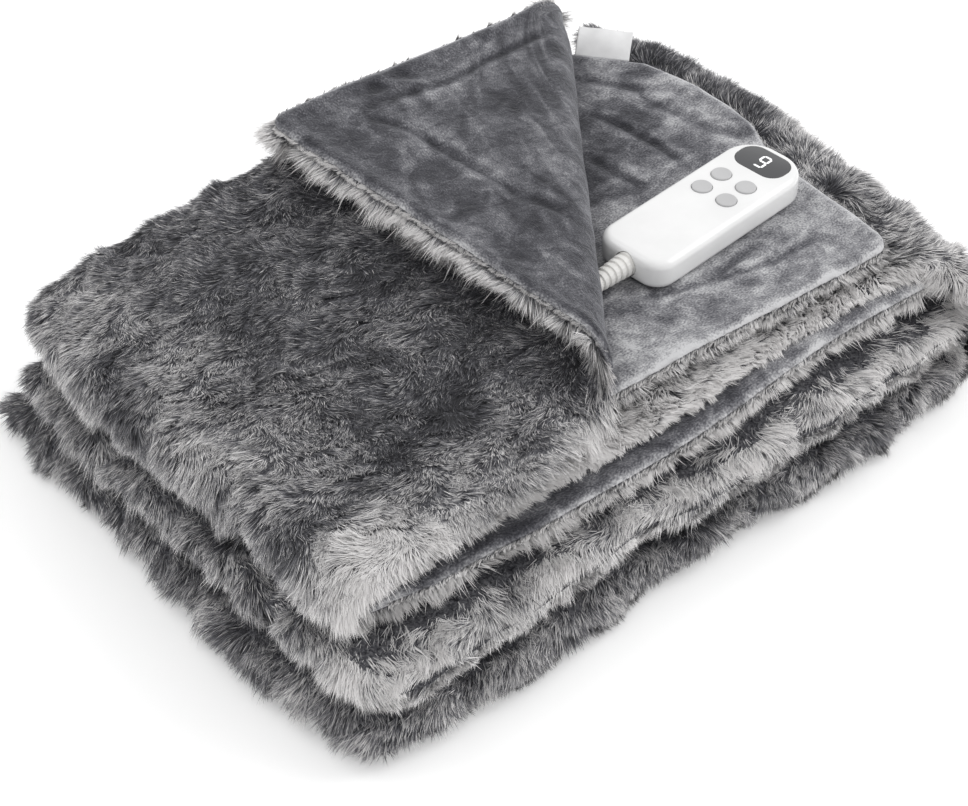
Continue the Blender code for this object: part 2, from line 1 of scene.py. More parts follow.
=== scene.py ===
# %% [markdown]
# A folded heated throw
# =====================
# The throw is one long sheet with two faces: deep grey faux fur on one side and short
# velvet on the other. It lies folded in a stack, one corner of the top layer is turned
# back, and a white handset lies on the velvet. The lesson builds each face as a surface
# of two parameters, plants the pile on it as hundreds of thousands of single hairs, and
# then makes the handset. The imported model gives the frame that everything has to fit.

# %% the frame
import math

import bpy
import numpy as np
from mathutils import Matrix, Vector


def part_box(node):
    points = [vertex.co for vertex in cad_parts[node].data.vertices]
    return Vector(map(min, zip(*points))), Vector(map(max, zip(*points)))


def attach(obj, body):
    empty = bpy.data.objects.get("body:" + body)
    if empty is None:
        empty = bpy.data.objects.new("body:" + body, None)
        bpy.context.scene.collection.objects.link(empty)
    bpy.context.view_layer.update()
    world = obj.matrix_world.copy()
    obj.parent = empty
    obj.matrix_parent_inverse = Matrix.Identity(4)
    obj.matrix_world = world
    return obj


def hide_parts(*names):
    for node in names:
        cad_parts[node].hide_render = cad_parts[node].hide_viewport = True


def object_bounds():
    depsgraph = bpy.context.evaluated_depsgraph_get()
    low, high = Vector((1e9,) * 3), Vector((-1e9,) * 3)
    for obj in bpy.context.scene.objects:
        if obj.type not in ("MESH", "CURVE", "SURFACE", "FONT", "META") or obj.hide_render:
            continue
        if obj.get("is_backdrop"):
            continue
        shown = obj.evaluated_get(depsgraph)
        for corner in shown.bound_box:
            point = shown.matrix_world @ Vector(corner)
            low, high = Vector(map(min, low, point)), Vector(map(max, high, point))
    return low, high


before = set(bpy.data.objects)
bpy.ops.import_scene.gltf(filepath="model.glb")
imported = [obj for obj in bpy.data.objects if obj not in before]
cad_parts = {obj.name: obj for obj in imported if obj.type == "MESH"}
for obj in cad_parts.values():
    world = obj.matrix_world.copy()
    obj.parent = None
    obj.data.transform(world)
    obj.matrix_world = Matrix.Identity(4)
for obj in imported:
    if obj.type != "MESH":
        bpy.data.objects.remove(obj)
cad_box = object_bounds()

MM = 0.001
BODY = "throw"
scene = bpy.context.scene

# %% [markdown]
# The camera stands where the photograph was taken from: off the stack's near corner and
# 42 degrees up. Its place is a target on the stack, a direction and a distance, so the
# same three values can be moved by hand. A matrix copied from elsewhere would do as well,
# but nobody could read it or nudge it.

# %% camera
TARGET = Vector((-0.0561, -0.0430, 0.0600))
AZIMUTH, ELEVATION = math.radians(-40.5), math.radians(42.0)
DISTANCE = 1.2169
LENS_MM, SENSOR_MM = 83.68, 36.0

flat = math.cos(ELEVATION)
backward = Vector((math.sin(AZIMUTH) * flat, -math.cos(AZIMUTH) * flat, math.sin(ELEVATION)))
camera = bpy.data.objects.new("camera", bpy.data.cameras.new("camera"))
camera.data.lens, camera.data.sensor_width = LENS_MM, SENSOR_MM
camera.location = TARGET + DISTANCE * backward
camera.rotation_euler = backward.to_track_quat("Z", "Y").to_euler()
scene.collection.objects.link(camera)
scene.camera = camera
print("camera at", [round(value, 3) for value in camera.location])

# %% [markdown]
# Shader maths reads best as plain arithmetic. A Wire holds one output socket, and adding
# or multiplying wires adds the Math node that does it. Every other kind of node comes
# from one function, which sets the node's own settings first and its sockets after that.
# A few short helpers on top of it take up what every material here repeats.

# %% shader arithmetic
class Wire:
    """One output socket, with the arithmetic that adds Math nodes behind it."""

    def __init__(self, tree, socket):
        self.tree = tree
        self.socket = socket

    def math(self, operation, *others, clamp=False):
        values = {index: value for index, value in enumerate((self, *others))}
        settings = {"operation": operation, "use_clamp": clamp}
        return node(self.tree, "ShaderNodeMath", settings, values)

    def __add__(self, other):
        return self.math("ADD", other)

    __radd__ = __add__

    def __sub__(self, other):
        return self.math("SUBTRACT", other)

    def __rsub__(self, other):
        return (self * -1.0) + other

    def __mul__(self, other):
        return self.math("MULTIPLY", other)

    __rmul__ = __mul__

    def clamped(self):
        return self.math("ADD", 0.0, clamp=True)


def node(tree, kind, settings=None, values=None, out=0):
    """Adds a node: its settings first, then a number, a colour or a link for each socket."""
    made = tree.nodes.new(kind)
    for name, value in (settings or {}).items():
        if name == "stops":
            ramp = made.color_ramp
            while len(ramp.elements) < len(value):
                ramp.elements.new(0.5)
            for element, (place, colour) in zip(ramp.elements, value):
                element.position = place
                element.color = (*colour, 1.0)
        else:
            setattr(made, name, value)
    for key, value in (values or {}).items():
        if isinstance(value, Wire):
            tree.links.new(value.socket, made.inputs[key])
        else:
            made.inputs[key].default_value = value
    return Wire(tree, made.outputs[out])


print("wires and nodes ready")

# %% what the materials share
def start_material(name, **constants):
    """A new material with one Principled shader, whose constant sockets are set here."""
    made = bpy.data.materials.new(name)
    made.use_nodes = True
    tree = made.node_tree
    shader = tree.nodes["Principled BSDF"]
    for socket, value in constants.items():
        shader.inputs[socket.replace("_", " ")].default_value = value
    return made, tree, shader


def feed(tree, shader, socket, wire):
    tree.links.new(wire.socket, shader.inputs[socket])


def object_place(tree):
    """Where a point lies on its own object, in metres."""
    return node(tree, "ShaderNodeTexCoord", out=3)


def axes(tree, vector):
    """The three numbers of a vector, each as a wire of its own."""
    first = node(tree, "ShaderNodeSeparateXYZ", None, {0: vector})
    return [Wire(tree, output) for output in first.socket.node.outputs]


def stored_values(tree, name):
    """The three numbers that the mesh keeps under this name."""
    return axes(tree, node(tree, "ShaderNodeAttribute", {"attribute_name": name}, out=1))


def plane_place(tree, x, y):
    """Two wires as one place on a plane, for a noise to read."""
    return node(tree, "ShaderNodeCombineXYZ", None, {0: x, 1: y, 2: 0.0})


def noise(tree, place, scale, detail=2.0, distortion=0.0):
    values = {"Vector": place, "Scale": scale, "Detail": detail, "Distortion": distortion}
    return node(tree, "ShaderNodeTexNoise", None, values)


def colour_by(tree, shader, level, stops):
    """Base colour read off a ramp: a stop is a place from 0 to 1 and its colour."""
    feed(tree, shader, "Base Color", node(tree, "ShaderNodeValToRGB", {"stops": stops}, {0: level}))


def bump_by(tree, shader, height, strength, distance):
    values = {"Strength": strength, "Distance": distance, "Height": height}
    feed(tree, shader, "Normal", node(tree, "ShaderNodeBump", None, values))


print("shader helpers ready")

# %% [markdown]
# A catalogue picture is taken on white paper under large soft lamps. The paper is one wide
# square that glows a little, so it fades into the white surround with no horizon. The key
# lamp stands at the front right and a weaker one behind at the left. Small lamps would
# draw hard shadows between the hairs, and the pile would look like wire.

# %% floor and light
FLOOR_SIZE, PAPER, PAPER_GLOW = 12.0, 0.93, 0.20
WHITE = (1.0, 1.0, 1.0, 1.0)
KEY_PLACE, KEY_SIZE, KEY_POWER = Vector((1.4, -0.9, 1.5)), 1.6, 15.0
FILL_PLACE, FILL_SIZE, FILL_POWER = Vector((-1.0, 1.3, 1.9)), 1.6, 9.0
WORLD_STRENGTH = 0.90


def lamp(name, place, size, power):
    light = bpy.data.lights.new(name, "AREA")
    light.shape, light.size, light.energy = "DISK", size, power
    made = bpy.data.objects.new(name, light)
    made.location = place
    made.rotation_euler = (place - TARGET).to_track_quat("Z", "Y").to_euler()
    scene.collection.objects.link(made)


floor_mesh = bpy.data.meshes.new("floor")
half = FLOOR_SIZE / 2
corners = [(half * x, half * y, 0) for x, y in ((-1, -1), (1, -1), (1, 1), (-1, 1))]
floor_mesh.from_pydata(corners, [], [(0, 1, 2, 3)])
floor = bpy.data.objects.new("floor", floor_mesh)
scene.collection.objects.link(floor)
paper = start_material("white paper", Roughness=0.9, Base_Color=(PAPER, PAPER, PAPER, 1.0),
                       Emission_Color=WHITE, Emission_Strength=PAPER_GLOW)[0]
floor_mesh.materials.append(paper)
floor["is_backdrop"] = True
lamp("key", KEY_PLACE, KEY_SIZE, KEY_POWER)
lamp("fill", FILL_PLACE, FILL_SIZE, FILL_POWER)
world = bpy.data.worlds.new("studio")
world.use_nodes = True
background = world.node_tree.nodes["Background"]
background.inputs["Color"].default_value = WHITE
background.inputs["Strength"].default_value = WORLD_STRENGTH
scene.world = world
scene.view_settings.view_transform = "Standard"
print("studio ready")

# %% [markdown]
# The stack is described by one row a layer, counted from the floor: how deep the pile
# stands, which side the fur is on (+1 up, -1 down), where the front and back hems lie
# along Y, and how far each hem curls in under its own pile. Adding up pile, velvet and
# gaps gives the height of every layer's seam, the line between its two faces.

# %% the layers
SEAM, VELVET, LAYER_GAP = 0.3 * MM, 2.5 * MM, 0.8 * MM
COLUMNS = ("fur", "side", "front", "back", "curl_front", "curl_back")
LAYERS = {
    "floor": (14.0 * MM, -1, -0.160, 0.163, 1.0, 1.0),
    "low": (13.0 * MM, 1, -0.159, 0.162, 1.0, 1.0),
    "middle": (13.0 * MM, -1, -0.158, 0.160, 1.0, 1.0),
    "high": (10.0 * MM, 1, -0.155, 0.158, 1.0, 1.0),
    "ledge": (10.0 * MM, -1, -0.147, 0.152, 0.0, 0.0),
    "inner": (7.5 * MM, 1, -0.130, 0.150, 0.0, 0.0),
    "shelf": (7.5 * MM, -1, -0.119, 0.150, 0.0, 0.0),
    "top": (14.0 * MM, 1, -0.130, 0.156, 0.6, 1.0),
}
ORDER = list(LAYERS)
LAYERS = {name: dict(zip(COLUMNS, row)) for name, row in LAYERS.items()}
level = 0.0
for ply in LAYERS.values():
    below = ply["fur"] if ply["side"] < 0 else VELVET
    ply["seam"] = level + below + SEAM / 2
    level += ply["fur"] + VELVET + SEAM + LAYER_GAP
FRONT_HEMS = {
    "ledge": ((-0.20, -0.132), (-0.165, -0.141), (-0.10, -0.147), (0.20, -0.141)),
    "shelf": ((-0.20, -0.120), (-0.045, -0.110), (0.035, -0.115), (0.10, -0.121)),
    "top": ((-0.21, -0.138), (-0.12, -0.133), (-0.055, -0.125), (0.254, -0.068)),
}
SHELF_END = (
    (-0.122, 0.192),
    (-0.020, 0.190),
    (0.010, 0.202),
    (0.060, 0.204),
    (0.100, 0.198),
    (0.150, 0.170),
)
SHELF_HEM_X = 0.200
FOLD_X = {
    "floor-low": -0.2230,
    "middle-high": -0.2165,
    "ledge-top": -0.2000,
    "inner-shelf": -0.2000,
    "low-middle": 0.2120,
    "high-ledge": 0.2160,
}
FUR_IN_FOLD = 0.78  # share of the pile's depth left on the inside of a fold
print("seam heights in mm:", {name: round(ply["seam"] / MM, 1) for name, ply in LAYERS.items()})

# %% [markdown]
# A throw is one cloth, so its section is one path: it starts at the hem on the right,
# doubles back at each fold and ends in the top layer. Each stretch below returns its
# points as whole arrays, and a blend from one layer's values to the next runs along each
# fold. `open` says how much of the fur on a stretch can be seen from outside.

# %% the path of the folds
END_ROLL = (
    (0.2090, LAYERS["inner"]["seam"]),
    (0.2170, 0.0840),
    (0.2260, 0.0838),
    (0.2335, 0.0770),
    (0.2355, 0.0640),
    (0.2355, 0.0450),
    (0.2345, 0.0300),
    (0.2300, 0.0195),
    (0.2200, 0.0150),
    (0.2050, LAYERS["floor"]["seam"]),
)
END_ROLL_FUR = 13 * MM
END_ROLL_HEM = {"front": -0.161, "back": 0.160}
END_ROLL_GROWTH = 0.2  # share of the roll over which its pile and hems reach full size
SHELF_HIDDEN_X = -0.07  # from here on the shelf lies under the top layer


def front_of(name, x):
    """The front hem of a layer at each x, read off its bends or constant."""
    if name in FRONT_HEMS:
        return np.interp(x, *zip(*FRONT_HEMS[name]))
    return np.full_like(x, LAYERS[name]["front"])


def stretch(x, z, start, end, share, open_fur):
    """One stretch of path: every value is the start layer's at share 0, the end's at 1."""
    mixed = {key: LAYERS[start][key] * (1 - share) + LAYERS[end][key] * share
             for key in ("fur", "back", "curl_front", "curl_back")}
    mixed["front"] = front_of(start, x) * (1 - share) + front_of(end, x) * share
    return {"x": x, "z": z, "open": np.full_like(x, open_fur), **mixed}


def run(name, x_start, x_end, spans):
    """A straight run through a layer, without its last point. None of its fur shows."""
    x = np.linspace(x_start, x_end, spans, endpoint=False)
    return stretch(x, np.full_like(x, LAYERS[name]["seam"]), name, name, np.zeros_like(x), 0.0)


def fold(start, end, spans):
    """A half circle from one layer up or down to the next, without its last point."""
    below, above = sorted((start, end), key=ORDER.index)
    middle_x = FOLD_X[f"{below}-{above}"]
    first, last = LAYERS[start]["seam"], LAYERS[end]["seam"]
    climb = 1 if last > first else -1
    angle = np.linspace(0, math.pi, spans, endpoint=False)
    x = middle_x + math.copysign(1, middle_x) * abs(last - first) / 2 * np.sin(angle)
    z = (first + last) / 2 - climb * abs(last - first) / 2 * np.cos(angle)
    inside = LAYERS[start]["side"] == climb
    made = stretch(x, z, start, end, angle / math.pi, 0.0 if inside else 1.0)
    if inside:
        made["fur"] *= 1 - (1 - FUR_IN_FOLD) * np.sin(angle)
        made["curl_front"] *= abs(np.cos(angle))
        made["curl_back"] *= abs(np.cos(angle))
    return made


print("straight runs and folds ready")

# %% the outer roll and the whole path
def end_roll(spans):
    """The outer roll: a smooth (Catmull-Rom) curve through its bends, hems growing out."""
    bends = np.array(END_ROLL)
    before = (2 * bends[0, 0] - bends[1, 0], bends[0, 1])
    after = (2 * bends[-1, 0] - bends[-2, 0], bends[-1, 1])
    knots = np.vstack((before, bends, after))
    share = np.linspace(0, 1, spans, endpoint=False)
    index = (share * (len(bends) - 1)).astype(int)
    t = (share * (len(bends) - 1) - index)[:, None]
    a, b, c, d = (knots[index + step] for step in range(4))
    square, cube = 2 * a - 5 * b + 4 * c - d, 3 * b - a - 3 * c + d
    curve = (2 * b + (c - a) * t + square * t**2 + cube * t**3) / 2
    made = stretch(curve[:, 0], curve[:, 1], "inner", "floor", share, 1.0)
    grown = np.minimum(share / END_ROLL_GROWTH, 1)
    made["fur"] = LAYERS["inner"]["fur"] * (1 - grown) + END_ROLL_FUR * grown
    made["front"] = front_of("inner", made["x"]) * (1 - grown) + END_ROLL_HEM["front"] * grown
    made["back"] = LAYERS["inner"]["back"] * (1 - grown) + END_ROLL_HEM["back"] * grown
    made["curl_front"] = made["curl_back"] = grown
    return made


def folded_path(spans):
    """The whole section up to the top layer, with the number of spans in each stretch."""
    stretches = (
        run("shelf", SHELF_HEM_X, SHELF_HIDDEN_X, spans["shelf"]),
        run("shelf", SHELF_HIDDEN_X, FOLD_X["inner-shelf"], spans["hidden"]),
        fold("shelf", "inner", spans["fold_in"]),
        run("inner", FOLD_X["inner-shelf"], END_ROLL[0][0], spans["hidden"]),
        end_roll(spans["roll"]),
        run("floor", END_ROLL[-1][0], FOLD_X["floor-low"], spans["floor"]),
        fold("floor", "low", spans["fold_out"]),
        run("low", FOLD_X["floor-low"], FOLD_X["low-middle"], spans["layer"]),
        fold("low", "middle", spans["fold_in"]),
        run("middle", FOLD_X["low-middle"], FOLD_X["middle-high"], spans["layer"]),
        fold("middle", "high", spans["fold_out"]),
        run("high", FOLD_X["middle-high"], FOLD_X["high-ledge"], spans["layer"]),
        fold("high", "ledge", spans["fold_in"]),
        run("ledge", FOLD_X["high-ledge"], FOLD_X["ledge-top"], spans["ledge"]),
        fold("ledge", "top", spans["fold_out"]),
    )
    return {key: np.concatenate([part[key] for part in stretches]) for key in stretches[0]}


print("path helpers ready")

# %% [markdown]
# The top layer's front corner is turned back over a roll. Flat cloth at distance d past
# the line of the turn goes round a circle of radius R: R sin(d / R) past the line and
# R (1 - cos(d / R)) up, and past half a turn it runs back over the layer. Where a row
# meets the line is found by correcting a first guess a dozen times, for all rows at once.

# %% the turned-back corner
TURN_POINT = np.array((-0.0403, -0.1060))
TURN_ANGLE = math.radians(52)
TURN_RADIUS = 13.8 * MM
FLAP_FUR = 11.5 * MM
FLAP_CORNER = np.array((0.254, -0.068))
FLAP_END_ANGLE = math.radians(104)
FLAP_HOLLOW, FLAP_BACK_TRIM = 3 * MM, 4 * MM
SHORT_FLAP_TURN = 0.8
CORRECTIONS = 12
ALONG = np.array((math.cos(TURN_ANGLE), math.sin(TURN_ANGLE)))
ACROSS = np.array((ALONG[1], -ALONG[0]))


def flat_y(x, share):
    """Y of the flat top layer at x, at this share of the way from front to back hem."""
    front = front_of("top", x)
    return front + share * (LAYERS["top"]["back"] - front)


def flat_x(distance, share):
    """X where a row is this far past the turn's line, by repeated correction."""
    x = np.zeros_like(distance + share)
    for _ in range(CORRECTIONS):
        x = TURN_POINT[0] + (distance + (flat_y(x, share) - TURN_POINT[1]) * ALONG[0]) / ACROSS[0]
    return x


def row_reach(share):
    """How far past the line each row's end hem lies, found the same way."""
    slope = math.cos(FLAP_END_ANGLE) / math.sin(FLAP_END_ANGLE)
    reach = np.full_like(share, float((FLAP_CORNER - TURN_POINT) @ ACROSS))
    for _ in range(CORRECTIONS):
        y = flat_y(flat_x(reach, share), share)
        x_hem = FLAP_CORNER[0] + (y - FLAP_CORNER[1]) * slope
        reach = (x_hem - TURN_POINT[0]) * ACROSS[0] + (y - TURN_POINT[1]) * ACROSS[1]
    return reach - FLAP_HOLLOW * np.sin(math.pi * share) - FLAP_BACK_TRIM * share


def top_sheet(shares, spans):
    """The top layer as lines of points, and how far past the turn's line each one lies."""
    half_turn = math.pi * TURN_RADIUS
    share = shares[None, :]
    reach = row_reach(shares)[None, :]
    turned = np.minimum(half_turn, SHORT_FLAP_TURN * reach)
    first = flat_x(np.zeros_like(share), share)
    before = np.linspace(0, 1, spans["top"], endpoint=False)[:, None]
    in_turn = np.linspace(0, 1, spans["turn"], endpoint=False)[:, None]
    in_flap = np.sin(np.linspace(0, math.pi / 2, spans["flap"] + 1))[:, None]
    x_before = FOLD_X["ledge-top"] + before * (first - FOLD_X["ledge-top"])
    x_after = flat_x(np.vstack((in_turn * turned, turned + in_flap * (reach - turned))), share)
    x = np.vstack((x_before, x_after))
    y = flat_y(x, share)
    past = (x - TURN_POINT[0]) * ACROSS[0] + (y - TURN_POINT[1]) * ACROSS[1]
    turn = np.clip(past, 0, half_turn) / TURN_RADIUS
    back = np.maximum(past - half_turn, 0)
    shift = np.where(past > 0, TURN_RADIUS * np.sin(turn) - back - past, 0)
    z = LAYERS["top"]["seam"] + TURN_RADIUS * (1 - np.cos(turn))
    return np.stack((x + ACROSS[0] * shift, y + ACROSS[1] * shift, z), axis=-1), past


print("flap reach in mm:", (row_reach(np.array((0.0, 0.5, 1.0))) / MM).round(1))

# %% [markdown]
# Cloth settles: the stack sinks at its back left, its long sides wander in slow waves and
# its ends are drawn in or bulge. One function does that to any points, and every surface
# of the throw goes through it, so neighbours stay neighbours.

# %% settling
SINK = 0.18  # share of its height that the back left corner sinks
SINK_X, SINK_Y = (0.03, 0.19), (-0.11, 0.27)
RIGHT_BAND, LEFT_BAND, SIDE_BAND = (0.12, 0.10), (0.10, 0.12), (0.07, 0.08)
RIGHT_BULGE = ((-0.17, -0.021), (-0.09, -0.008), (0.03, 0.005), (0.10, 0.004), (0.17, -0.014))
LEFT_BULGE = ((-0.17, 0.005), (-0.10, -0.001), (0.06, 0.000), (0.17, 0.008))
LEFT_WANDER, SIDE_WANDER = 1.5 * MM, 2.5 * MM
BUTTON_MIDDLE = 0.0155  # from the handset's middle to the middle of its four buttons
HANDSET_AT = np.array((0.1125, -0.0424))
HANDSET_TURN = math.radians(4.5)
buttons = [sum(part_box(f"button_{number}"), Vector()) / 2 for number in (1, 2, 3, 4)]
button_middle = np.array(sum(buttons, Vector()) / 4)
handset_along = np.array((math.cos(HANDSET_TURN), math.sin(HANDSET_TURN)))
SHIFT = np.array((*(button_middle[:2] - HANDSET_AT - BUTTON_MIDDLE * handset_along), 0.0))


def rise(value, start, width):
    """Smooth step from 0 to 1: 3t^2 - 2t^3, where t runs over the band."""
    t = np.clip((value - start) / width, 0, 1)
    return t * t * (3 - 2 * t)


def settle(points):
    """Moves points as the stack settles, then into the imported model's frame."""
    x, y, z = points[..., 0], points[..., 1], points[..., 2]
    sunk = SINK * rise(-x, *SINK_X) * rise(y, *SINK_Y)
    left, right = rise(-x, *LEFT_BAND), rise(x, *RIGHT_BAND)
    sides = rise(-y, *SIDE_BAND) + rise(y, *SIDE_BAND)
    left_shift = np.interp(y, *zip(*LEFT_BULGE)) + LEFT_WANDER * np.sin(34 * y + 30 * z)
    right_shift = np.interp(y, *zip(*RIGHT_BULGE))
    new_x = x + left * left_shift + right * right_shift
    new_y = y + sides * SIDE_WANDER * np.sin(27 * x + 45 * z + 1.3)
    return np.stack((new_x, new_y, z * (1 - sunk)), axis=-1) + SHIFT


print("shift into the frame in mm:", (SHIFT / MM).round(2))

# %% [markdown]
# Every surface of the cloth is one grid: lines follow the path of the folds and rows run
# from the front hem to the back hem. The rows crowd towards the hems, because the small
# shapes are there. The cross product of the grid's two directions points to the fur, so
# the same grid, moved either way along it, gives the bed of the pile and the velvet.

# %% the cloth as a grid
VELVET_SETBACK, RIM_RADIUS = 0.6 * MM, 2.6 * MM
HEM_FLATTENS, FUR_CHANGES = 0.060, 7.0 * MM
CORNER_RADIUS = 14.0 * MM
RIM_SHARES = (1.0, 0.75, 0.5, 0.25)


def unit(vectors):
    return vectors / np.maximum(np.linalg.norm(vectors, axis=-1, keepdims=True), 1e-12)


def crowded(count, pull):
    """Shares t - pull sin(2 pi t), which lie closer together towards both ends."""
    t = np.linspace(0, 1, count)
    return t - pull * np.sin(2 * math.pi * t)


def normals_of(grid):
    """Unit cross products of the grid's two directions, which point to the fur."""
    return unit(np.cross(np.gradient(grid, axis=0), np.gradient(grid, axis=1)))


def arc_lengths(grid, axis):
    """Length along the grid's lines or rows, summed from step to step."""
    steps = np.linalg.norm(np.diff(grid, axis=axis), axis=-1)
    pad = [(0, 0), (0, 0)]
    pad[axis] = (1, 0)
    return np.pad(steps.cumsum(axis=axis), pad)


def rounded_corner(grid, line_end, row_end):
    """Draws one free corner in: the square of side r there becomes a quarter disc."""
    flipped = grid[::line_end, ::row_end]
    inward_line = unit(flipped[4] - flipped[0])[None]
    inward_row = unit(flipped[:, 4] - flipped[:, 0])[:, None]
    a = 1 - np.minimum(arc_lengths(flipped, 0) / CORNER_RADIUS, 1)
    b = 1 - np.minimum(arc_lengths(flipped, 1) / CORNER_RADIUS, 1)
    move_line = CORNER_RADIUS * a * (1 - np.sqrt(1 - b * b / 2))
    move_row = CORNER_RADIUS * b * (1 - np.sqrt(1 - a * a / 2))
    moved = flipped + inward_line * move_line[..., None] + inward_row * move_row[..., None]
    return moved[::line_end, ::row_end]


def cloth(shares, spans):
    """The seam's grid before it settles, and what the pile needs to know at each point."""
    path = folded_path(spans)
    top, top_past = top_sheet(shares, spans)
    x = np.repeat(path["x"][:, None], len(shares), axis=1)
    y = path["front"][:, None] + shares * (path["back"] - path["front"])[:, None]
    grid = np.stack((x, y, np.broadcast_to(path["z"][:, None], x.shape)), axis=-1)
    shelf = slice(0, spans["shelf"] + spans["hidden"])
    pull = (path["x"][shelf] - FOLD_X["inner-shelf"]) / (SHELF_HEM_X - FOLD_X["inner-shelf"])
    end = np.interp(grid[0, :, 1], *zip(*SHELF_END))
    grid[shelf, :, 0] += pull[:, None] * (end - SHELF_HEM_X)
    grid = np.vstack((grid, top))
    for line_end in (1, -1):
        for row_end in (1, -1):
            grid = rounded_corner(grid, line_end, row_end)
    changed = np.clip(top_past / FUR_CHANGES, 0, 1)
    top_fur = LAYERS["top"]["fur"] * (1 - changed) + FLAP_FUR * changed
    fur = np.vstack((np.repeat(path["fur"][:, None], len(shares), axis=1), top_fur))
    curls = []
    for edge, column in (("front", 0), ("back", -1)):
        flatter = np.clip(1 + top_past[:, column] / HEM_FLATTENS, 0, 1)
        on_top = LAYERS["top"][f"curl_{edge}"] * (1 - flatter)
        curls.append(np.append(path[f"curl_{edge}"], on_top))
    is_open = np.append(path["open"], np.ones(len(top)))
    return {"grid": grid, "fur": fur, "curls": curls, "open": is_open}


VELVET_SPANS = {"shelf": 104, "hidden": 6, "fold_in": 6, "roll": 24, "floor": 6, "fold_out": 10,
                "layer": 16, "ledge": 50, "top": 16, "turn": 22, "flap": 28}
VELVET_ROWS, VELVET_CROWDING = 84, 0.07
velvet_cloth = cloth(crowded(VELVET_ROWS, VELVET_CROWDING), VELVET_SPANS)
print("velvet grid", velvet_cloth["grid"].shape)

# %% [markdown]
# A grid of points becomes a mesh by numbering them: a quad joins each point to its three
# neighbours, and a ring of quads round the border closes two grids into one skin. A thin
# sheet could also get its thickness from a Solidify modifier, but here both faces are
# known, and they differ. Values that a material needs are stored on the points.

# %% meshes from grids
def mesh_object(name, points, faces, smooth=True):
    """An object at the origin, its points in metres and its faces as an index array."""
    mesh = bpy.data.meshes.new(name)
    mesh.from_pydata(points.reshape(-1, 3), [], faces)
    if smooth:
        mesh.shade_smooth()
    made = bpy.data.objects.new(name, mesh)
    scene.collection.objects.link(made)
    return made


def closed_sheet(name, upper, lower):
    """Two grids a few millimetres apart, joined round their border into one closed skin."""
    lines, rows = upper.shape[:2]
    number = np.arange(lines * rows).reshape(lines, rows)
    quads = (number[:-1, :-1], number[1:, :-1], number[1:, 1:], number[:-1, 1:])
    quads = np.stack(quads, axis=-1).reshape(-1, 4)
    loop = (number[:-1, 0], number[-1, :-1], number[:0:-1, -1], number[0, :0:-1])
    loop = np.concatenate(loop)
    follow = np.roll(loop, -1)
    under = lines * rows
    border = np.stack((follow, loop, loop + under, follow + under), axis=-1)
    faces = np.vstack((quads, quads[:, ::-1] + under, border))
    points = np.vstack((upper.reshape(-1, 3), lower.reshape(-1, 3)))
    return mesh_object(name, points, faces.tolist())


def share_values(thing, name, values):
    """Stores a vector at every point of a mesh, for its material to read."""
    layer = thing.data.attributes.new(name, "FLOAT_VECTOR", "POINT")
    layer.data.foreach_set("vector", np.ascontiguousarray(values, dtype=np.float32).ravel())


def line_distance(places, bends):
    """Distance in plan from each place to a bent line, and the share of its length there."""
    bends = np.asarray(bends, float)
    starts, ends = bends[:-1], bends[1:]
    spans = ends - starts
    lengths = np.linalg.norm(spans, axis=1)
    offset = places[..., None, :2] - starts
    share = np.clip((offset * spans).sum(-1) / (spans * spans).sum(-1), 0, 1)
    gap = np.linalg.norm(offset - share[..., None] * spans, axis=-1)
    nearest = gap.argmin(axis=-1)
    before = np.concatenate(((0,), lengths.cumsum()[:-1]))
    share = np.take_along_axis(share, nearest[..., None], -1)[..., 0]
    along = before[nearest] + share * lengths[nearest]
    return gap.min(axis=-1), along / lengths.sum()


print("mesh helpers ready")

# %% [markdown]
# Velvet keeps the memory of its folds. Each crease or sewn channel is a bent line in plan
# with a depth and a width: its trough is depth times exp(-(d / width)^2) at distance d,
# with a low ridge on each side. Between the lines the cloth puffs up in slow waves, and
# along the hems it swells a little where it is turned in and sewn.

# %% velvet relief
SHELF_CREASES = (
    # bends, depth mm, width mm
    (((0.133, 0.080), (0.138, 0.063), (0.141, 0.031), (0.140, 0.007)), 1.6, 3.0),
    (((0.103, 0.050), (0.103, 0.027), (0.106, 0.005)), 1.0, 3.0),
    (((0.160, -0.066), (0.146, -0.068), (0.134, -0.071), (0.093, -0.078), (0.059, -0.073)),
     1.5, 2.4),
    (((0.034, -0.067), (0.068, -0.079), (0.112, -0.090), (0.150, -0.092)), 1.2, 2.4),
    (((0.196, -0.010), (0.178, 0.020), (0.170, 0.060), (0.172, 0.100)), 0.9, 4.0),
    (((0.150, 0.118), (0.165, 0.090), (0.195, 0.060)), 0.9, 3.5),
)
FLAP_CREASES = (
    (((-0.002, 0.134), (0.042, 0.127), (0.062, 0.122), (0.088, 0.125), (0.146, 0.125)), 1.3, 3.0),
    (((-0.001, 0.129), (0.008, 0.106), (0.010, 0.096), (0.013, 0.068), (0.016, 0.041),
      (0.016, 0.011), (0.023, -0.001), (0.027, -0.033)), 1.3, 3.0),
    (((0.025, 0.154), (0.044, 0.129)), -1.2, 4.0),
)
LEDGE_CREASES = (
    (((-0.150, -0.118), (-0.060, -0.126), (0.020, -0.121), (0.120, -0.128), (0.200, -0.124)),
     1.2, 3.0),
)
WAVES = ((61, 23, 17, 1.0), (-37, 71, 29, 2.1), (97, -83, 41, 4.0), (43, 109, -67, 0.4))
RIDGE, RIDGE_AT, RIDGE_WIDTH = 0.35, 2.2, 1.2  # share of the depth, then in trough widths
HEM_SWELL, HEM_SWELL_WIDTH = 1.6 * MM, 5.5 * MM
HEM_THINS, THINNEST = 1.5 * MM, 0.6 * MM
SHELF_LUMP, SHELF_LUMP_SCALE = 1.2 * MM, 1.4
FLAP_LUMP, FLAP_LUMP_SCALE = 1.5 * MM, 1.2
SHELF_DROP = 0.15 * MM
UNDER_HANDSET = (0.075, 0.032)  # half sizes of the place that the handset keeps flat


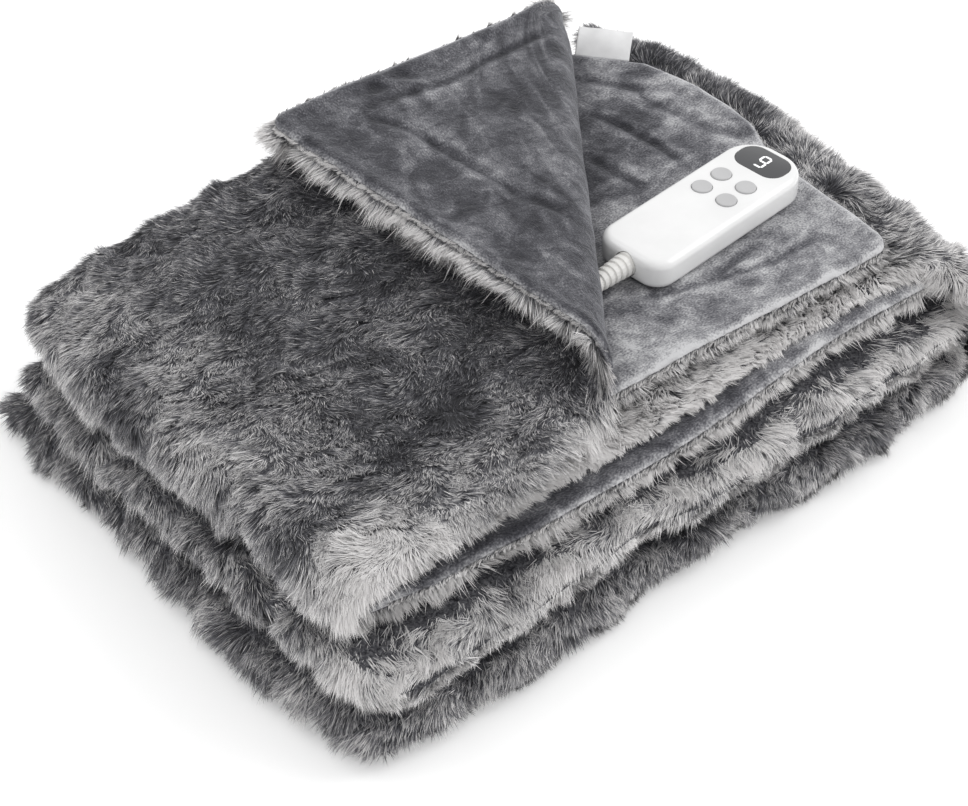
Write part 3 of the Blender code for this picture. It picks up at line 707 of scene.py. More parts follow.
def falloff(distance, width, power=2):
    """1 at no distance, then e to the minus (distance / width) to the power."""
    return np.exp(-((distance / width) ** power))


def lumps(points):
    """A smooth uneven field between 0 and 1: the mean of four plane sine waves."""
    waves = [np.sin(points @ np.array(wave[:3]) + wave[3]) for wave in WAVES]
    return 0.5 + sum(waves) / (2 * len(WAVES))


def creased(points, creases):
    """Height in metres from all the creases of one stretch: troughs with low ridges."""
    height = np.zeros(points.shape[:-1])
    for bends, depth, width in creases:
        gap, along = line_distance(points, bends)
        ends = np.clip(np.minimum(along, 1 - along) * 6, 0, 1) ** 0.5
        gap = gap / (width * MM)
        ridge = RIDGE * falloff(gap - RIDGE_AT, RIDGE_WIDTH)
        height -= depth * MM * ends * (falloff(gap, 1) - ridge)
    return height


def stretch_slices(spans):
    """Where each visible stretch of the path lies among the grid's lines."""
    counts = ("shelf", "hidden", "fold_in", "hidden", "roll", "floor", "fold_out", "layer",
              "fold_in", "layer", "fold_out", "layer", "fold_in", "ledge", "fold_out", "top",
              "turn", "flap")
    names = ("shelf", "shelf hidden", "fold", "inner", "roll", "floor", "left 1", "low",
             "right 1", "middle", "left 2", "high", "right 2", "ledge", "left 3", "top",
             "turn", "flap")
    starts = np.concatenate(((0,), np.cumsum([spans[count] for count in counts])))
    made = {name: slice(int(a), int(b)) for name, a, b in zip(names, starts, starts[1:])}
    made["flap"] = slice(made["flap"].start, made["flap"].stop + 1)
    return made


print("creases:", len(SHELF_CREASES) + len(FLAP_CREASES) + len(LEDGE_CREASES))

# %% velvet sheet
grid = velvet_cloth["grid"]
where = stretch_slices(VELVET_SPANS)
velvet_normal = normals_of(grid)
seam_side = grid - velvet_normal * SEAM / 2
for row, inner, curl in zip((0, -1), (3, -4), velvet_cloth["curls"]):
    setback = VELVET_SETBACK * (2 * curl[:, None] - 1)
    seam_side[:, row] += unit(grid[:, inner] - grid[:, row]) * setback
for line, inner in ((0, 3), (-1, -4)):
    seam_side[line] -= unit(grid[inner] - grid[line]) * VELVET_SETBACK
rows_in = arc_lengths(grid, 1)
lines_in = arc_lengths(grid, 0)
to_side_hem = np.minimum(rows_in, rows_in[:, -1:] - rows_in)
to_hem = np.minimum(to_side_hem, np.minimum(lines_in, lines_in[-1:] - lines_in))
thickness = VELVET * (1 - 0.5 * falloff(to_hem, HEM_THINS))
thickness += HEM_SWELL * falloff(to_hem - HEM_SWELL_WIDTH, HEM_SWELL_WIDTH)
relief = np.zeros(grid.shape[:2])
plan = settle(grid)
shelf, ledge = where["shelf"], where["ledge"]
turned = slice(where["turn"].start, where["flap"].stop)
on_shelf = plan[shelf]
relief[shelf] = creased(on_shelf, SHELF_CREASES)
relief[shelf] += SHELF_LUMP * (lumps(on_shelf * SHELF_LUMP_SCALE) - 0.5)
relief[ledge] = creased(plan[ledge], LEDGE_CREASES)
relief[turned] = creased(plan[turned], FLAP_CREASES)
relief[turned] += FLAP_LUMP * (lumps(plan[turned] * FLAP_LUMP_SCALE) - 0.5)
from_handset = np.linalg.norm((on_shelf[..., :2] - button_middle[:2]) / UNDER_HANDSET, axis=-1)
relief[shelf] *= rise(from_handset, 0.8, 0.5)
relief[shelf] -= SHELF_DROP
nap_side = seam_side - velvet_normal * np.maximum(thickness + relief, THINNEST)[..., None]
velvet = closed_sheet("velvet_sheet", settle(seam_side), settle(nap_side))
print("velvet sheet:", len(velvet.data.polygons), "faces,",
      round(float(lines_in.max()), 2), "m along the path")

# %% [markdown]
# Velvet looks pale or dark by the way its nap leans to the light, and here that light and
# shade is painted into its colour, so one cloth has many greys. The mesh keeps where each
# point lies along and across the cloth, and a shade with painted light in it: the shelf has
# painted light that grows to the front and right, a painted shadow lies beside the turned
# corner, the cut edge has a painted sheen and a trough has painted shade, darker than the
# cloth round it.

# %% painted light and shade of the velvet
# Amounts added to the velvet's tone: a base, then painted light, painted shadow and painted sheen.
VELVET_TONE_AND_PAINTED_LIGHT = {"cloth": 0.35, "shelf": 0.18, "shelf front": 0.17, "shelf right": 0.08,
          "painted shadow beside the corner": -0.20, "ledge": 0.04, "ledge right": 0.26, "hem": 0.42}
HEM_SHEEN_WIDTH, RELIEF_TO_SHADE = 2.0 * MM, 1 / (4.0 * MM)
shade = np.full(relief.shape, VELVET_TONE_AND_PAINTED_LIGHT["cloth"])
shelf_x, shelf_y = on_shelf[..., 0], on_shelf[..., 1]
# Painted light: the shelf is made paler, more so to its front and right.
shade[shelf] += VELVET_TONE_AND_PAINTED_LIGHT["shelf"] + VELVET_TONE_AND_PAINTED_LIGHT["shelf front"] * rise(-shelf_y, -0.06, 0.12)
shade[shelf] += VELVET_TONE_AND_PAINTED_LIGHT["shelf right"] * rise(shelf_x, 0.11, 0.07)
# Painted shadow of the turned-back corner on the shelf beside it.
painted_flap_shadow = (1 - rise(shelf_x, 0.09, 0.10)) * rise(shelf_y, -0.01, 0.05)
shade[shelf] += VELVET_TONE_AND_PAINTED_LIGHT["painted shadow beside the corner"] * painted_flap_shadow
# Painted light: the ledge strip is made paler, more so to the right.
shade[ledge] += VELVET_TONE_AND_PAINTED_LIGHT["ledge"] + VELVET_TONE_AND_PAINTED_LIGHT["ledge right"] * rise(plan[ledge][..., 0], 0.00, 0.12)
# Painted sheen: a pale line along every cut edge.
shade += VELVET_TONE_AND_PAINTED_LIGHT["hem"] * falloff(to_hem, HEM_SHEEN_WIDTH)
# Painted shade where the cloth dips into a crease, a little painted light where it rises.
shade += np.clip(relief * RELIEF_TO_SHADE, -0.3, 0.1)
# Along, across, and the tone with its painted light and shade, for the material.
cloth_place = np.stack((lines_in, rows_in, shade), axis=-1).reshape(-1, 3)
share_values(velvet, "cloth_place", np.tile(cloth_place, (2, 1)))
print("shade from", round(float(shade.min()), 2), "to", round(float(shade.max()), 2))

# %% [markdown]
# Real pile is never one colour. Its tips catch the light in patches, and that sheen is
# painted here as paler patches; its hems are paler and painted shade darkens its partings.
# A field of random waves gives the patches: the sum of sines with wavelengths near one
# size, scaled to a spread of one. Bent lines add painted highlights in known places, such
# as the pale ridge along the top roll's front edge.

# %% light and dark patches
def patches(points, size, seed, count=14):
    """Sum of plane sine waves with random directions and phases, of spread 1."""
    rng = np.random.default_rng(seed)
    direction = unit(rng.normal(size=(count, 3)))
    number = 2 * math.pi / (size * rng.uniform(0.7, 1.4, count))
    phase = rng.uniform(0, 2 * math.pi, count)
    total = np.zeros(points.shape[:-1])
    for way, wave, start in zip(direction, number, phase):
        total += np.sin(points @ way * wave + start)
    return total * math.sqrt(2 / count)


def mixed_patches(points, table):
    """Several fields of patches added up: the table's rows are share, size and seed."""
    return sum(share * patches(points, size, seed) for share, size, seed in table)


print("patches ready")

# %% [markdown]
# The pile is made in two steps. A grey bed fills the lower part of its depth, so nothing
# shines through, and the hairs stand on that bed. The bed follows the same grid, with
# curled rims past the hems, and its depth is uneven because real pile lies in lumps.

# %% the bed of the pile
FUR_ROWS, FUR_CROWDING = 60, 0.10
LUMP = 0.30  # the part of the pile's depth that its lumps can take away
BED_SHARE, BED_REACH = 0.46, 0.2 * MM
MOUND, MOUND_SIZE = 0.15, 0.026
PRESSED_FLOOR, PRESSED = 0.5, 0.78  # shares of the depth that the bed fills inside the stack
PRESSED_IN, PRESSED_ASIDE = (0.004, 0.022), (0.012, 0.026)  # from where, and over what width
FLAT_HEM, THINNED = 4 * MM, 0.8
LEAST_HEIGHT = 0.3 * MM
TOP_FROM = 8  # lines of the last fold that don't belong to the top yet
FUR_SPANS = {"shelf": 40, "hidden": 8, "fold_in": 8, "roll": 60, "floor": 26, "fold_out": 18,
             "layer": 50, "ledge": 50, "top": 60, "turn": 26, "flap": 26}
ROLL_CREASE = ((-0.204, 0.085), (-0.210, 0.071), (-0.219, 0.045), (-0.225, 0.021),
               (-0.231, -0.011), (-0.232, -0.039))
FRONT_TROUGH = ((-0.084, -0.064), (-0.111, -0.075), (-0.134, -0.081), (-0.157, -0.088),
                (-0.181, -0.091), (-0.203, -0.090), (-0.225, -0.091))
ROLL_DENT, FRONT_DENT = (0.45, 0.007), (0.40, 0.010)  # share of the depth, and width


def with_rims(cloth_grid):
    """Adds rows past both hems: curled in under the pile, or reaching flat past the hem."""
    grid, normals = cloth_grid["grid"], normals_of(cloth_grid["grid"])
    sides = []
    for row, inner, curls in zip((0, -1), (3, -4), cloth_grid["curls"]):
        outward = unit(grid[:, row] - grid[:, inner])
        lines = []
        for share in RIM_SHARES:
            angle = math.pi / 2 * share * curls
            out = (1 - curls) * BED_REACH * share + curls * RIM_RADIUS * np.sin(angle)
            down = curls * RIM_RADIUS * (1 - np.cos(angle))
            lines.append(grid[:, row] + outward * out[:, None] - normals[:, row] * down[:, None])
        sides.append(np.stack(lines, axis=1))
    return np.concatenate((sides[0], grid, sides[1][:, ::-1]), axis=1)


fur_cloth = cloth(crowded(FUR_ROWS, FUR_CROWDING), FUR_SPANS)
fur_where = stretch_slices(FUR_SPANS)
fur_seam = with_rims(fur_cloth)
rims = len(RIM_SHARES)
fur_normal = normals_of(fur_seam)
on_floor = fur_seam[..., 2] < LAYERS["floor"]["seam"] + MM
pile = np.pad(fur_cloth["fur"], ((0, 0), (rims, rims)), mode="edge")
pile = pile * np.where(on_floor, 1.0, 1 - LUMP * lumps(fur_seam))
plan = settle(fur_seam)
roll_gap = line_distance(plan, ROLL_CREASE)[0]
front_gap = line_distance(plan, FRONT_TROUGH)[0]
is_top = np.zeros(pile.shape, bool)
is_top[fur_where["left 3"].start + TOP_FROM: fur_where["turn"].start] = True
hollow = ROLL_DENT[0] * falloff(roll_gap, ROLL_DENT[1])
hollow += FRONT_DENT[0] * falloff(front_gap, FRONT_DENT[1])
hollow = np.where(is_top, hollow, 0.0)
in_row = arc_lengths(fur_seam, 1)
flat_hem = falloff(np.minimum(in_row, in_row[:, ::-1]), FLAT_HEM)
flat_hem = flat_hem * (1 - np.maximum(*fur_cloth["curls"])[:, None])
mounds = np.clip(patches(plan, MOUND_SIZE, 4), -1.6, 1.6) * np.where(is_top, 0.5, 1.0)
bed_depth = pile * (1 - hollow) * (BED_SHARE + MOUND * mounds) * (1 - THINNED * flat_hem)
middle_line = arc_lengths(fur_seam, 0)[:, fur_seam.shape[1] // 2]
open_places = middle_line[fur_cloth["open"] > 0.5]
to_open = abs(middle_line[:, None] - open_places[None, :]).min(axis=1)
to_side = np.minimum(in_row, in_row[:, -1:] - in_row)
pressed = rise(to_open, *PRESSED_IN)[:, None] * rise(to_side, *PRESSED_ASIDE)
pressed[fur_where["turn"].start:] = 0.0
full = np.where(on_floor, PRESSED_FLOOR, PRESSED) * pile * (1 - THINNED * flat_hem)
bed_depth = bed_depth * (1 - pressed) + pressed * full
bed_top = settle(fur_seam + fur_normal * (SEAM / 2 + bed_depth)[..., None])
bed_low = settle(fur_seam + fur_normal * (SEAM / 2))
for surface in (bed_top, bed_low):
    surface[..., 2] = np.maximum(surface[..., 2], LEAST_HEIGHT)
every = [np.unique(np.append(np.arange(0, count, 2), count - 1)) for count in bed_top.shape[:2]]
bed = closed_sheet("fur_bed", bed_top[np.ix_(*every)], bed_low[np.ix_(*every)])
print("fur bed:", len(bed.data.polygons), "faces")

# %% [markdown]
# Each grid point now gets a direction for its hairs. On the top layer the pile is combed
# in swirls, given as a short table of places and headings that are blended by distance.
# On the rolls and sides it hangs: gravity, seen in the surface, with a push outward. At a
# flat hem it points out past the hem, which makes the fringe.

# %% which way the pile lies
COMBED = (
    # x, y, heading in degrees from X
    (-0.200, 0.120, 200), (-0.200, 0.050, 230), (-0.200, -0.030, 215), (-0.210, -0.110, 225),
    (-0.150, 0.140, 160), (-0.150, 0.060, 205), (-0.150, -0.020, 250), (-0.160, -0.100, 225),
    (-0.100, 0.120, 150), (-0.100, 0.040, 190), (-0.100, -0.040, 215), (-0.100, -0.110, 235),
    (-0.060, 0.100, 175), (-0.060, 0.000, 230), (-0.050, -0.070, 200), (-0.060, -0.120, 240),
    (0.200, 0.000, 10), (0.200, 0.150, 60), (0.200, -0.120, -60),
)
NEAREST = 0.004
STACK_HALF = (0.235, 0.165)  # half of the stack's length and depth
HANG_OUT, HANG_OUT_BELOW = 0.65, 0.8  # the push outward, and what overhangs add to it
FRINGE_REACH, FRINGE_PULL, FRINGE_DROOP = 0.012, 1.5, 0.35
WANDERS = ((0.45, 0.040, 5), (0.30, 0.018, 6))  # radians, size, seed


def headings(points):
    """The table's unit directions blended with weights 1 / d^3, d being the distance."""
    table = np.array(COMBED)
    gap = np.linalg.norm(points[..., None, :2] - table[:, :2], axis=-1)
    weight = 1 / np.maximum(gap, NEAREST) ** 3
    turn = np.radians(table[:, 2])
    x = (weight * np.cos(turn)).sum(-1) / weight.sum(-1)
    y = (weight * np.sin(turn)).sum(-1) / weight.sum(-1)
    return unit(np.stack((x, y, np.zeros_like(x)), axis=-1))


def in_surface(vectors, normals):
    """What is left of the vectors once their part along the normals is taken out."""
    return vectors - normals * (vectors * normals).sum(-1, keepdims=True)


surface_normal = normals_of(bed_top)
along_line = unit(np.gradient(bed_top, axis=0))
along_row = unit(np.gradient(bed_top, axis=1))
line_length = arc_lengths(bed_top, 0)
row_length = arc_lengths(bed_top, 1)
side_ways = bed_top[..., :2] / STACK_HALF
is_nearer = abs(side_ways) >= abs(side_ways).max(-1, keepdims=True)
side_ways = np.where(is_nearer, np.sign(side_ways), 0.0)
outward = unit(np.concatenate((side_ways, np.zeros_like(side_ways[..., :1])), axis=-1))
down = np.broadcast_to((0.0, 0.0, -1.0), bed_top.shape)
upness = np.clip(surface_normal[..., 2], 0, 1)[..., None]
combed = headings(bed_top)
overhang = np.clip(-surface_normal[..., 2:], 0, 1)
hanging = down + outward * (HANG_OUT + HANG_OUT_BELOW * overhang)
flow = in_surface(upness**2 * combed + (1 - upness**2) * unit(hanging), surface_normal)
from_front, from_back = row_length, row_length[:, -1:] - row_length
from_start, from_end = line_length, line_length[-1:] - line_length
curl_front, curl_back = (curls[:, None] for curls in fur_cloth["curls"])
flat_front = falloff(from_front, FRINGE_REACH) * (1 - curl_front)
flat_back = falloff(from_back, FRINGE_REACH) * (1 - curl_back)
flat_start, flat_end = (falloff(distance, FRINGE_REACH) for distance in (from_start, from_end))
fringe = (flat_back[..., None] * along_row - flat_front[..., None] * along_row
          + flat_end[..., None] * along_line - flat_start[..., None] * along_line)
at_hem = np.clip(flat_front + flat_back + flat_start + flat_end, 0, 1)[..., None]
flow = unit(flow * (1 - at_hem) + FRINGE_PULL * fringe + (FRINGE_DROOP * at_hem) * down)
wander = mixed_patches(bed_top, WANDERS)[..., None]
flow = unit(flow * np.cos(wander) + np.cross(surface_normal, flow) * np.sin(wander))
print("flow field", flow.shape)

# %% [markdown]
# Hairs are planted only where they can be seen: on the open rolls and the top, and in a
# band inside each hem. What lies under the turned-back corner stays bare. The weight
# times the area of each grid cell is the chance that a hair starts there.

# %% where the pile is seen
HEM_BAND, INNER_BAND, FRINGE_BAND, OPEN_BAND = 0.020, 0.029, 0.012, 0.022
UNDER_CORNER = 0.014  # how far in under the turned-back corner the pile still shows
HEM_MORE, END_MORE, INNER_SHARE = 1.2, 1.3, 0.9
LEAST_WEIGHT, MOST_WEIGHT = 0.15, 2.2
OUTLINE_STEP = 4
nearest_side = np.minimum(from_front, from_back)
nearest_end = np.minimum(from_start, from_end)
seen = np.repeat(falloff(to_open, OPEN_BAND)[:, None], pile.shape[1], axis=1)
seen[fur_where["turn"].start:] = 0.0
corner_bed = bed_top[fur_where["turn"].start:]
flap_outline = (corner_bed[:, 0], corner_bed[-1], corner_bed[::-1, -1], corner_bed[0, ::-1])
flap_outline = np.concatenate(flap_outline)[:, :2]


def inside(points, outline):
    """True where a ray along X crosses the closed outline an odd number of times."""
    a, b = outline, np.roll(outline, -1, axis=0)
    y = points[..., None, 1]
    crosses = (a[:, 1] > y) != (b[:, 1] > y)
    rise_y = np.where(a[:, 1] == b[:, 1], 1e-9, b[:, 1] - a[:, 1])
    x = a[:, 0] + (y - a[:, 1]) / rise_y * (b[:, 0] - a[:, 0])
    return (crosses & (points[..., None, 0] < x)).sum(-1) % 2 == 1


outline = flap_outline[::OUTLINE_STEP]
covered = inside(bed_top, outline) & (line_distance(bed_top, outline)[0] > UNDER_CORNER)
top_lines = slice(fur_where["left 3"].start, fur_where["turn"].start)
seen[top_lines] = np.where(covered[top_lines], 0.0, seen[top_lines])
band = np.full((len(to_open), 1), HEM_BAND)
band[fur_where["inner"]] = INNER_BAND
hem_weight = HEM_MORE * falloff(nearest_side, band, 4)
end_weight = END_MORE * falloff(nearest_end, FRINGE_BAND)
weight = np.clip(np.maximum(seen, hem_weight) + end_weight + at_hem[..., 0], 0, MOST_WEIGHT)
weight = np.where(weight < LEAST_WEIGHT, 0.0, weight)
hidden_ends = slice(fur_where["inner"].start, fur_where["roll"].start)
weight[hidden_ends] *= INNER_SHARE
print("weight from", round(float(weight.min()), 2), "to", round(float(weight.max()), 2))

# %% [markdown]
# Each hair takes its tone and its length from two maps on the same grid. The photograph
# was read by place: how much lighter or darker the pile is along a ridge, in a parting,
# near the floor or at a hem. Most of that is light and shade, so the tone map holds
# painted light and painted shade. A painted picture could hold this too, but a short list
# of amounts can be read and changed, and it fits any number of hairs. In each call of rise
# the first number is where a zone begins and the second how wide its edge is.

# %% tone of the pile, with painted light and shade
PAINTED_HIGHLIGHT_RIDGE = ((-0.074, -0.110), (-0.101, -0.107), (-0.130, -0.111), (-0.158, -0.114),
               (-0.184, -0.119), (-0.213, -0.130))
NEAR_CORNER_HIGHLIGHT, NEAR_CORNER_HIGHLIGHT_SIZE = (-0.205, -0.150, 0.085), 0.045
PAINTED_SHEEN_MOTTLES = ((0.10, 0.045, 1), (0.07, 0.016, 2))  # share, size, seed
# Amounts added to the pile's tone; most are painted light and painted shade by place.
PILE_TONES_AND_PAINTED_LIGHT = {
    "middle": 0.50, "mottle on top": 0.45, "mottle": 0.50, "inner": 0.30, "ridge": 0.22,
    "hem": 0.34, "partings": -0.25, "front": 0.04, "painted highlight on the front": 0.23,
    "right end": 0.42, "painted light on the right half": 0.10, "painted shade on top of the end roll": -0.34, "floor": -0.12,
    "top": -0.23, "left end": 0.04, "painted highlight near the corner": 0.20,
}
LENGTHS = {"hem face": -0.22, "underside": -0.35, "before the roll": 0.85, "inner hem": -0.50,
           "turned corner": 1.60}
x, y, height = bed_top[..., 0], bed_top[..., 1], bed_top[..., 2]
# Painted sheen: random pale and dark patches where tips would catch the light, stronger on the top.
mottle = mixed_patches(bed_top, PAINTED_SHEEN_MOTTLES)
tone_and_painted_light = PILE_TONES_AND_PAINTED_LIGHT["middle"] + np.where(is_top, PILE_TONES_AND_PAINTED_LIGHT["mottle on top"], PILE_TONES_AND_PAINTED_LIGHT["mottle"]) * mottle
# Painted light: the inner layer, in shade under the shelf, is made paler.
tone_and_painted_light[fur_where["inner"]] += PILE_TONES_AND_PAINTED_LIGHT["inner"]
# Painted highlight along the front ridge of the top roll.
highlight_ridge_gap = line_distance(bed_top, PAINTED_HIGHLIGHT_RIDGE)[0]
tone_and_painted_light += PILE_TONES_AND_PAINTED_LIGHT["ridge"] * falloff(highlight_ridge_gap, 0.020) * (height > 0.09)
tone_and_painted_light += PILE_TONES_AND_PAINTED_LIGHT["hem"] * at_hem[..., 0]
# Painted shade in the partings on the top.
tone_and_painted_light += is_top * (PILE_TONES_AND_PAINTED_LIGHT["partings"] * (falloff(roll_gap, 0.008) + falloff(front_gap, 0.011)))
# Painted light: the front side, its belly most, and the right end and right half are made paler.
at_front, at_right = rise(-y, 0.120, 0.020), rise(x, 0.215, 0.015)
belly = PILE_TONES_AND_PAINTED_LIGHT["painted highlight on the front"] * rise(height, 0.034, 0.020)
tone_and_painted_light += at_front * (belly * (1 - rise(height, 0.088, 0.012)) + PILE_TONES_AND_PAINTED_LIGHT["front"])
tone_and_painted_light += PILE_TONES_AND_PAINTED_LIGHT["right end"] * at_right * rise(-y, -0.08, 0.08) * rise(height, 0.028, 0.022)
tone_and_painted_light += PILE_TONES_AND_PAINTED_LIGHT["painted light on the right half"] * rise(x, 0.10, 0.12)
# Painted shade: darker on the end roll's upward faces, near the floor and over the top.
facing_up = rise(surface_normal[..., 2], 0.5, 0.4)
tone_and_painted_light += PILE_TONES_AND_PAINTED_LIGHT["painted shade on top of the end roll"] * rise(x, 0.19, 0.02) * facing_up * rise(y, -0.05, 0.10)
tone_and_painted_light += PILE_TONES_AND_PAINTED_LIGHT["floor"] * (1 - rise(height, 0.018, 0.020))
tone_and_painted_light += PILE_TONES_AND_PAINTED_LIGHT["top"] * is_top * (1 - 0.9 * rise(-x, 0.12, 0.07))
tone_and_painted_light += PILE_TONES_AND_PAINTED_LIGHT["left end"] * rise(-x, 0.19, 0.03) * rise(height, 0.05, 0.03)
# Painted highlight round the stack's near corner.
from_corner = np.linalg.norm(bed_top - NEAR_CORNER_HIGHLIGHT, axis=-1)
tone_and_painted_light += PILE_TONES_AND_PAINTED_LIGHT["painted highlight near the corner"] * falloff(from_corner, NEAR_CORNER_HIGHLIGHT_SIZE)
hem_face, underside = abs(surface_normal[..., 1]), -surface_normal[..., 2]
length_map = 1 + LENGTHS["hem face"] * rise(hem_face, 0.3, 0.5)
length_map += LENGTHS["underside"] * rise(underside, 0.2, 0.6)
length_map[:fur_where["roll"].start] *= LENGTHS["before the roll"]
length_map[fur_where["inner"]] *= 1 + LENGTHS["inner hem"] * at_hem[fur_where["inner"], :, 0]
length_map[fur_where["turn"].start:] *= LENGTHS["turned corner"]
print("tone from", round(float(tone_and_painted_light.min()), 2), "to", round(float(tone_and_painted_light.max()), 2))

# %% [markdown]
# A hair is one long triangle. Its tip is root + L (lean flow + rise normal + bend aside),
# drawn on towards the middle of its tuft and down by its own weight. Neighbours share a
# large tuft and a small one. A particle system could grow hairs too, but here each piece
# has to end as a mesh, and all its hairs are worked out at once, as arrays with one row a
# hair. Each vertex gets a normal between the triangle's own and the surface's, which
# makes the whole pile shade as one soft body.

# %% locks
SOFTNESS = 0.80
COLUMNS_OF_TONE = 512
GATHER, TUFT_SHARES, TUFT_SEEDS = 0.5, (0.45, 0.8), (3, 7)
LEAN_LOSS, SAG = 0.25, 0.42
WARP, MIDDLE_FROM, MIDDLE_SPAN = 0.35, 0.15, 0.7  # in tuft sizes
TWIST_NOISE, BEND_NOISE, FACING_NOISE, TONE_NOISE = 0.13, 0.12, 0.35, 0.16
HAIR_PLACES = 64  # hairs side by side in the noise, so that neighbours differ
HAIR_ACROSS, HAIR_ALONG = np.array((0.0, 1.0, 0.5)), np.array((0.0, 0.0, 1.0))


def hashed(a, b, seed):
    """A number from 0 to 1 for a pair of whole numbers: the fraction of a large sine."""
    value = np.sin(a * 127.1 + b * 311.7 + seed * 74.7) * 43758.5453
    return value - np.floor(value)


def by_tuft(cell, seed, low, span):
    """A value for each tuft, from low to low + span by the tuft's own random number."""
    return low + span * hashed(*cell, seed)


def scattered(rng, count, chance_map, fields):
    """Roots: a grid cell picked by area times weight, then each field blended inside it."""
    edge_line, edge_row = np.diff(fields[0], axis=0)[:, :-1], np.diff(fields[0], axis=1)[:-1]
    area = np.linalg.norm(np.cross(edge_line, edge_row), axis=-1)
    sides = chance_map[:-1, :-1] + chance_map[1:, 1:]
    chance = (area * (sides + chance_map[1:, :-1] + chance_map[:-1, 1:]) / 4).ravel().cumsum()
    cell = np.searchsorted(chance, rng.random(count) * chance[-1])
    i, j = np.divmod(cell, fields[0].shape[1] - 1)
    a, b = rng.random((2, count))
    corners = ((i, j, (1 - a) * (1 - b)), (i + 1, j, a * (1 - b)),
               (i, j + 1, (1 - a) * b), (i + 1, j + 1, a * b))
    return [sum(field[ii, jj] * (share[:, None] if field.ndim == 3 else share)
                for ii, jj, share in corners) for field in fields]


def tufts(place_line, place_row, size, seed):
    """The way to the middle of each root's tuft along the grid, and the tuft's cell."""
    u = (place_line + WARP * size * np.sin(place_row * 1.9 / size + seed)) / size
    v = (place_row + WARP * size * np.sin(place_line * 1.7 / size + 2 * seed)) / size
    cell = np.floor(u), np.floor(v)
    to_u = (cell[0] + MIDDLE_FROM + MIDDLE_SPAN * hashed(*cell, seed) - u) * size
    to_v = (cell[1] + MIDDLE_FROM + MIDDLE_SPAN * hashed(*cell, seed + 1) - v) * size
    return to_u[:, None], to_v[:, None], cell


print("tufts ready")

# %% one piece of pile
pile_fields = (bed_top, surface_normal, flow, along_line, along_row, line_length, row_length,
               bed_depth, tone_and_painted_light, length_map)


def locks(name, seed, count, chance_map, length, width, lift, sizes, spread, sink=0.2,
          droop=0.0, fields=pile_fields):
    """One piece of pile: each hair's foot is drawn below its root by sink times the depth,
    and its tip stands off the foot as told above. Metres and radians; `sizes` are the
    large and the small tuft's."""
    rng = np.random.default_rng(seed)
    values = scattered(rng, count, chance_map, fields)
    root, normal, lie, t_line, t_row, s_line, s_row, depth, tone, share = values
    normal, lie, t_line, t_row = unit(normal), unit(lie), unit(t_line), unit(t_row)
    pull, cells = np.zeros((count, 3)), []
    for size, part, place in zip(sizes, TUFT_SHARES, TUFT_SEEDS):
        to_u, to_v, cell = tufts(s_line, s_row, size, place)
        pull += GATHER * part * (t_line * to_u + t_row * to_v)
        cells.append(cell)
    big, small = cells
    twist = spread * by_tuft(big, 12, -1, 2) + 0.3 * spread * by_tuft(small, 13, -1, 2)
    twist += TWIST_NOISE * rng.normal(size=count)
    lie = lie * np.cos(twist)[:, None] + np.cross(normal, lie) * np.sin(twist)[:, None]
    scale = by_tuft(big, 14, 0.8, 0.4) * by_tuft(small, 15, 0.85, 0.3)
    long = (length * (scale * rng.uniform(0.75, 1.1, count) * share))[:, None]
    up = (lift * by_tuft(big, 16, 0.75, 0.5) * rng.uniform(0.85, 1.15, count))[:, None]
    bend = 0.5 * by_tuft(small, 17, -1, 2) * spread + BEND_NOISE * rng.normal(size=count)
    aside = np.cross(normal, lie) * bend[:, None]
    foot = root - normal * (sink * depth)[:, None]
    tip = foot + long * (lie * (1 - LEAN_LOSS * up) + normal * up * (1 - SAG) + aside)
    tip = tip + pull + np.array((0.0, 0.0, -1.0)) * long * droop
    least = rng.uniform(0.3, 1.5, count) * MM
    for points in (foot, tip):
        points[:, 2] = np.maximum(points[:, 2], least)
    heading = unit(tip - foot)
    facing = unit(normal + FACING_NOISE * rng.normal(size=(count, 3)))
    side = unit(np.cross(heading, facing))
    half = width * rng.uniform(0.35, 0.65, (count, 1))
    vertices = np.stack((foot - side * half, foot + side * half, tip), axis=1)
    faces = np.arange(3 * count).reshape(-1, 3)
    made = mesh_object(name, vertices, faces.tolist())
    soft = unit(SOFTNESS * normal + (1 - SOFTNESS) * unit(np.cross(side, heading)))
    made.data.normals_split_custom_set_from_vertices(np.repeat(soft, 3, axis=0))
    uneven = 0.12 * by_tuft(big, 18, -0.5, 1) + 0.16 * by_tuft(small, 19, -0.5, 1)
    # The hair's tone carries painted light and shade from the tone map, and a random part.
    own_tone_and_light = tone + (uneven + TONE_NOISE * rng.normal(size=count))
    strand = np.empty((count, 3, 3))
    strand[..., 0] = HAIR_ACROSS + np.floor(rng.random((count, 1)) * HAIR_PLACES)
    strand[..., 1] = HAIR_ALONG
    strand[..., 2] = own_tone_and_light[:, None]
    share_values(made, "strand", strand.reshape(-1, 3))
    rank = np.empty(count)
    rank[np.argsort(own_tone_and_light)] = np.arange(count) / count
    column = np.floor(rank * COLUMNS_OF_TONE)[:, None] + 0.1 + 0.8 * HAIR_ACROSS
    row = np.broadcast_to(0.01 + 0.98 * HAIR_ALONG, column.shape)
    places = np.stack((column / COLUMNS_OF_TONE, row), axis=-1).astype(np.float32)
    uv_map = made.data.uv_layers.new(name="OFBake", do_init=False)
    uv_map.uv.foreach_set("vector", places.ravel())
    print(name, len(faces), "triangles")
    return made


print("a hair runs across", HAIR_ACROSS, "and along", HAIR_ALONG)

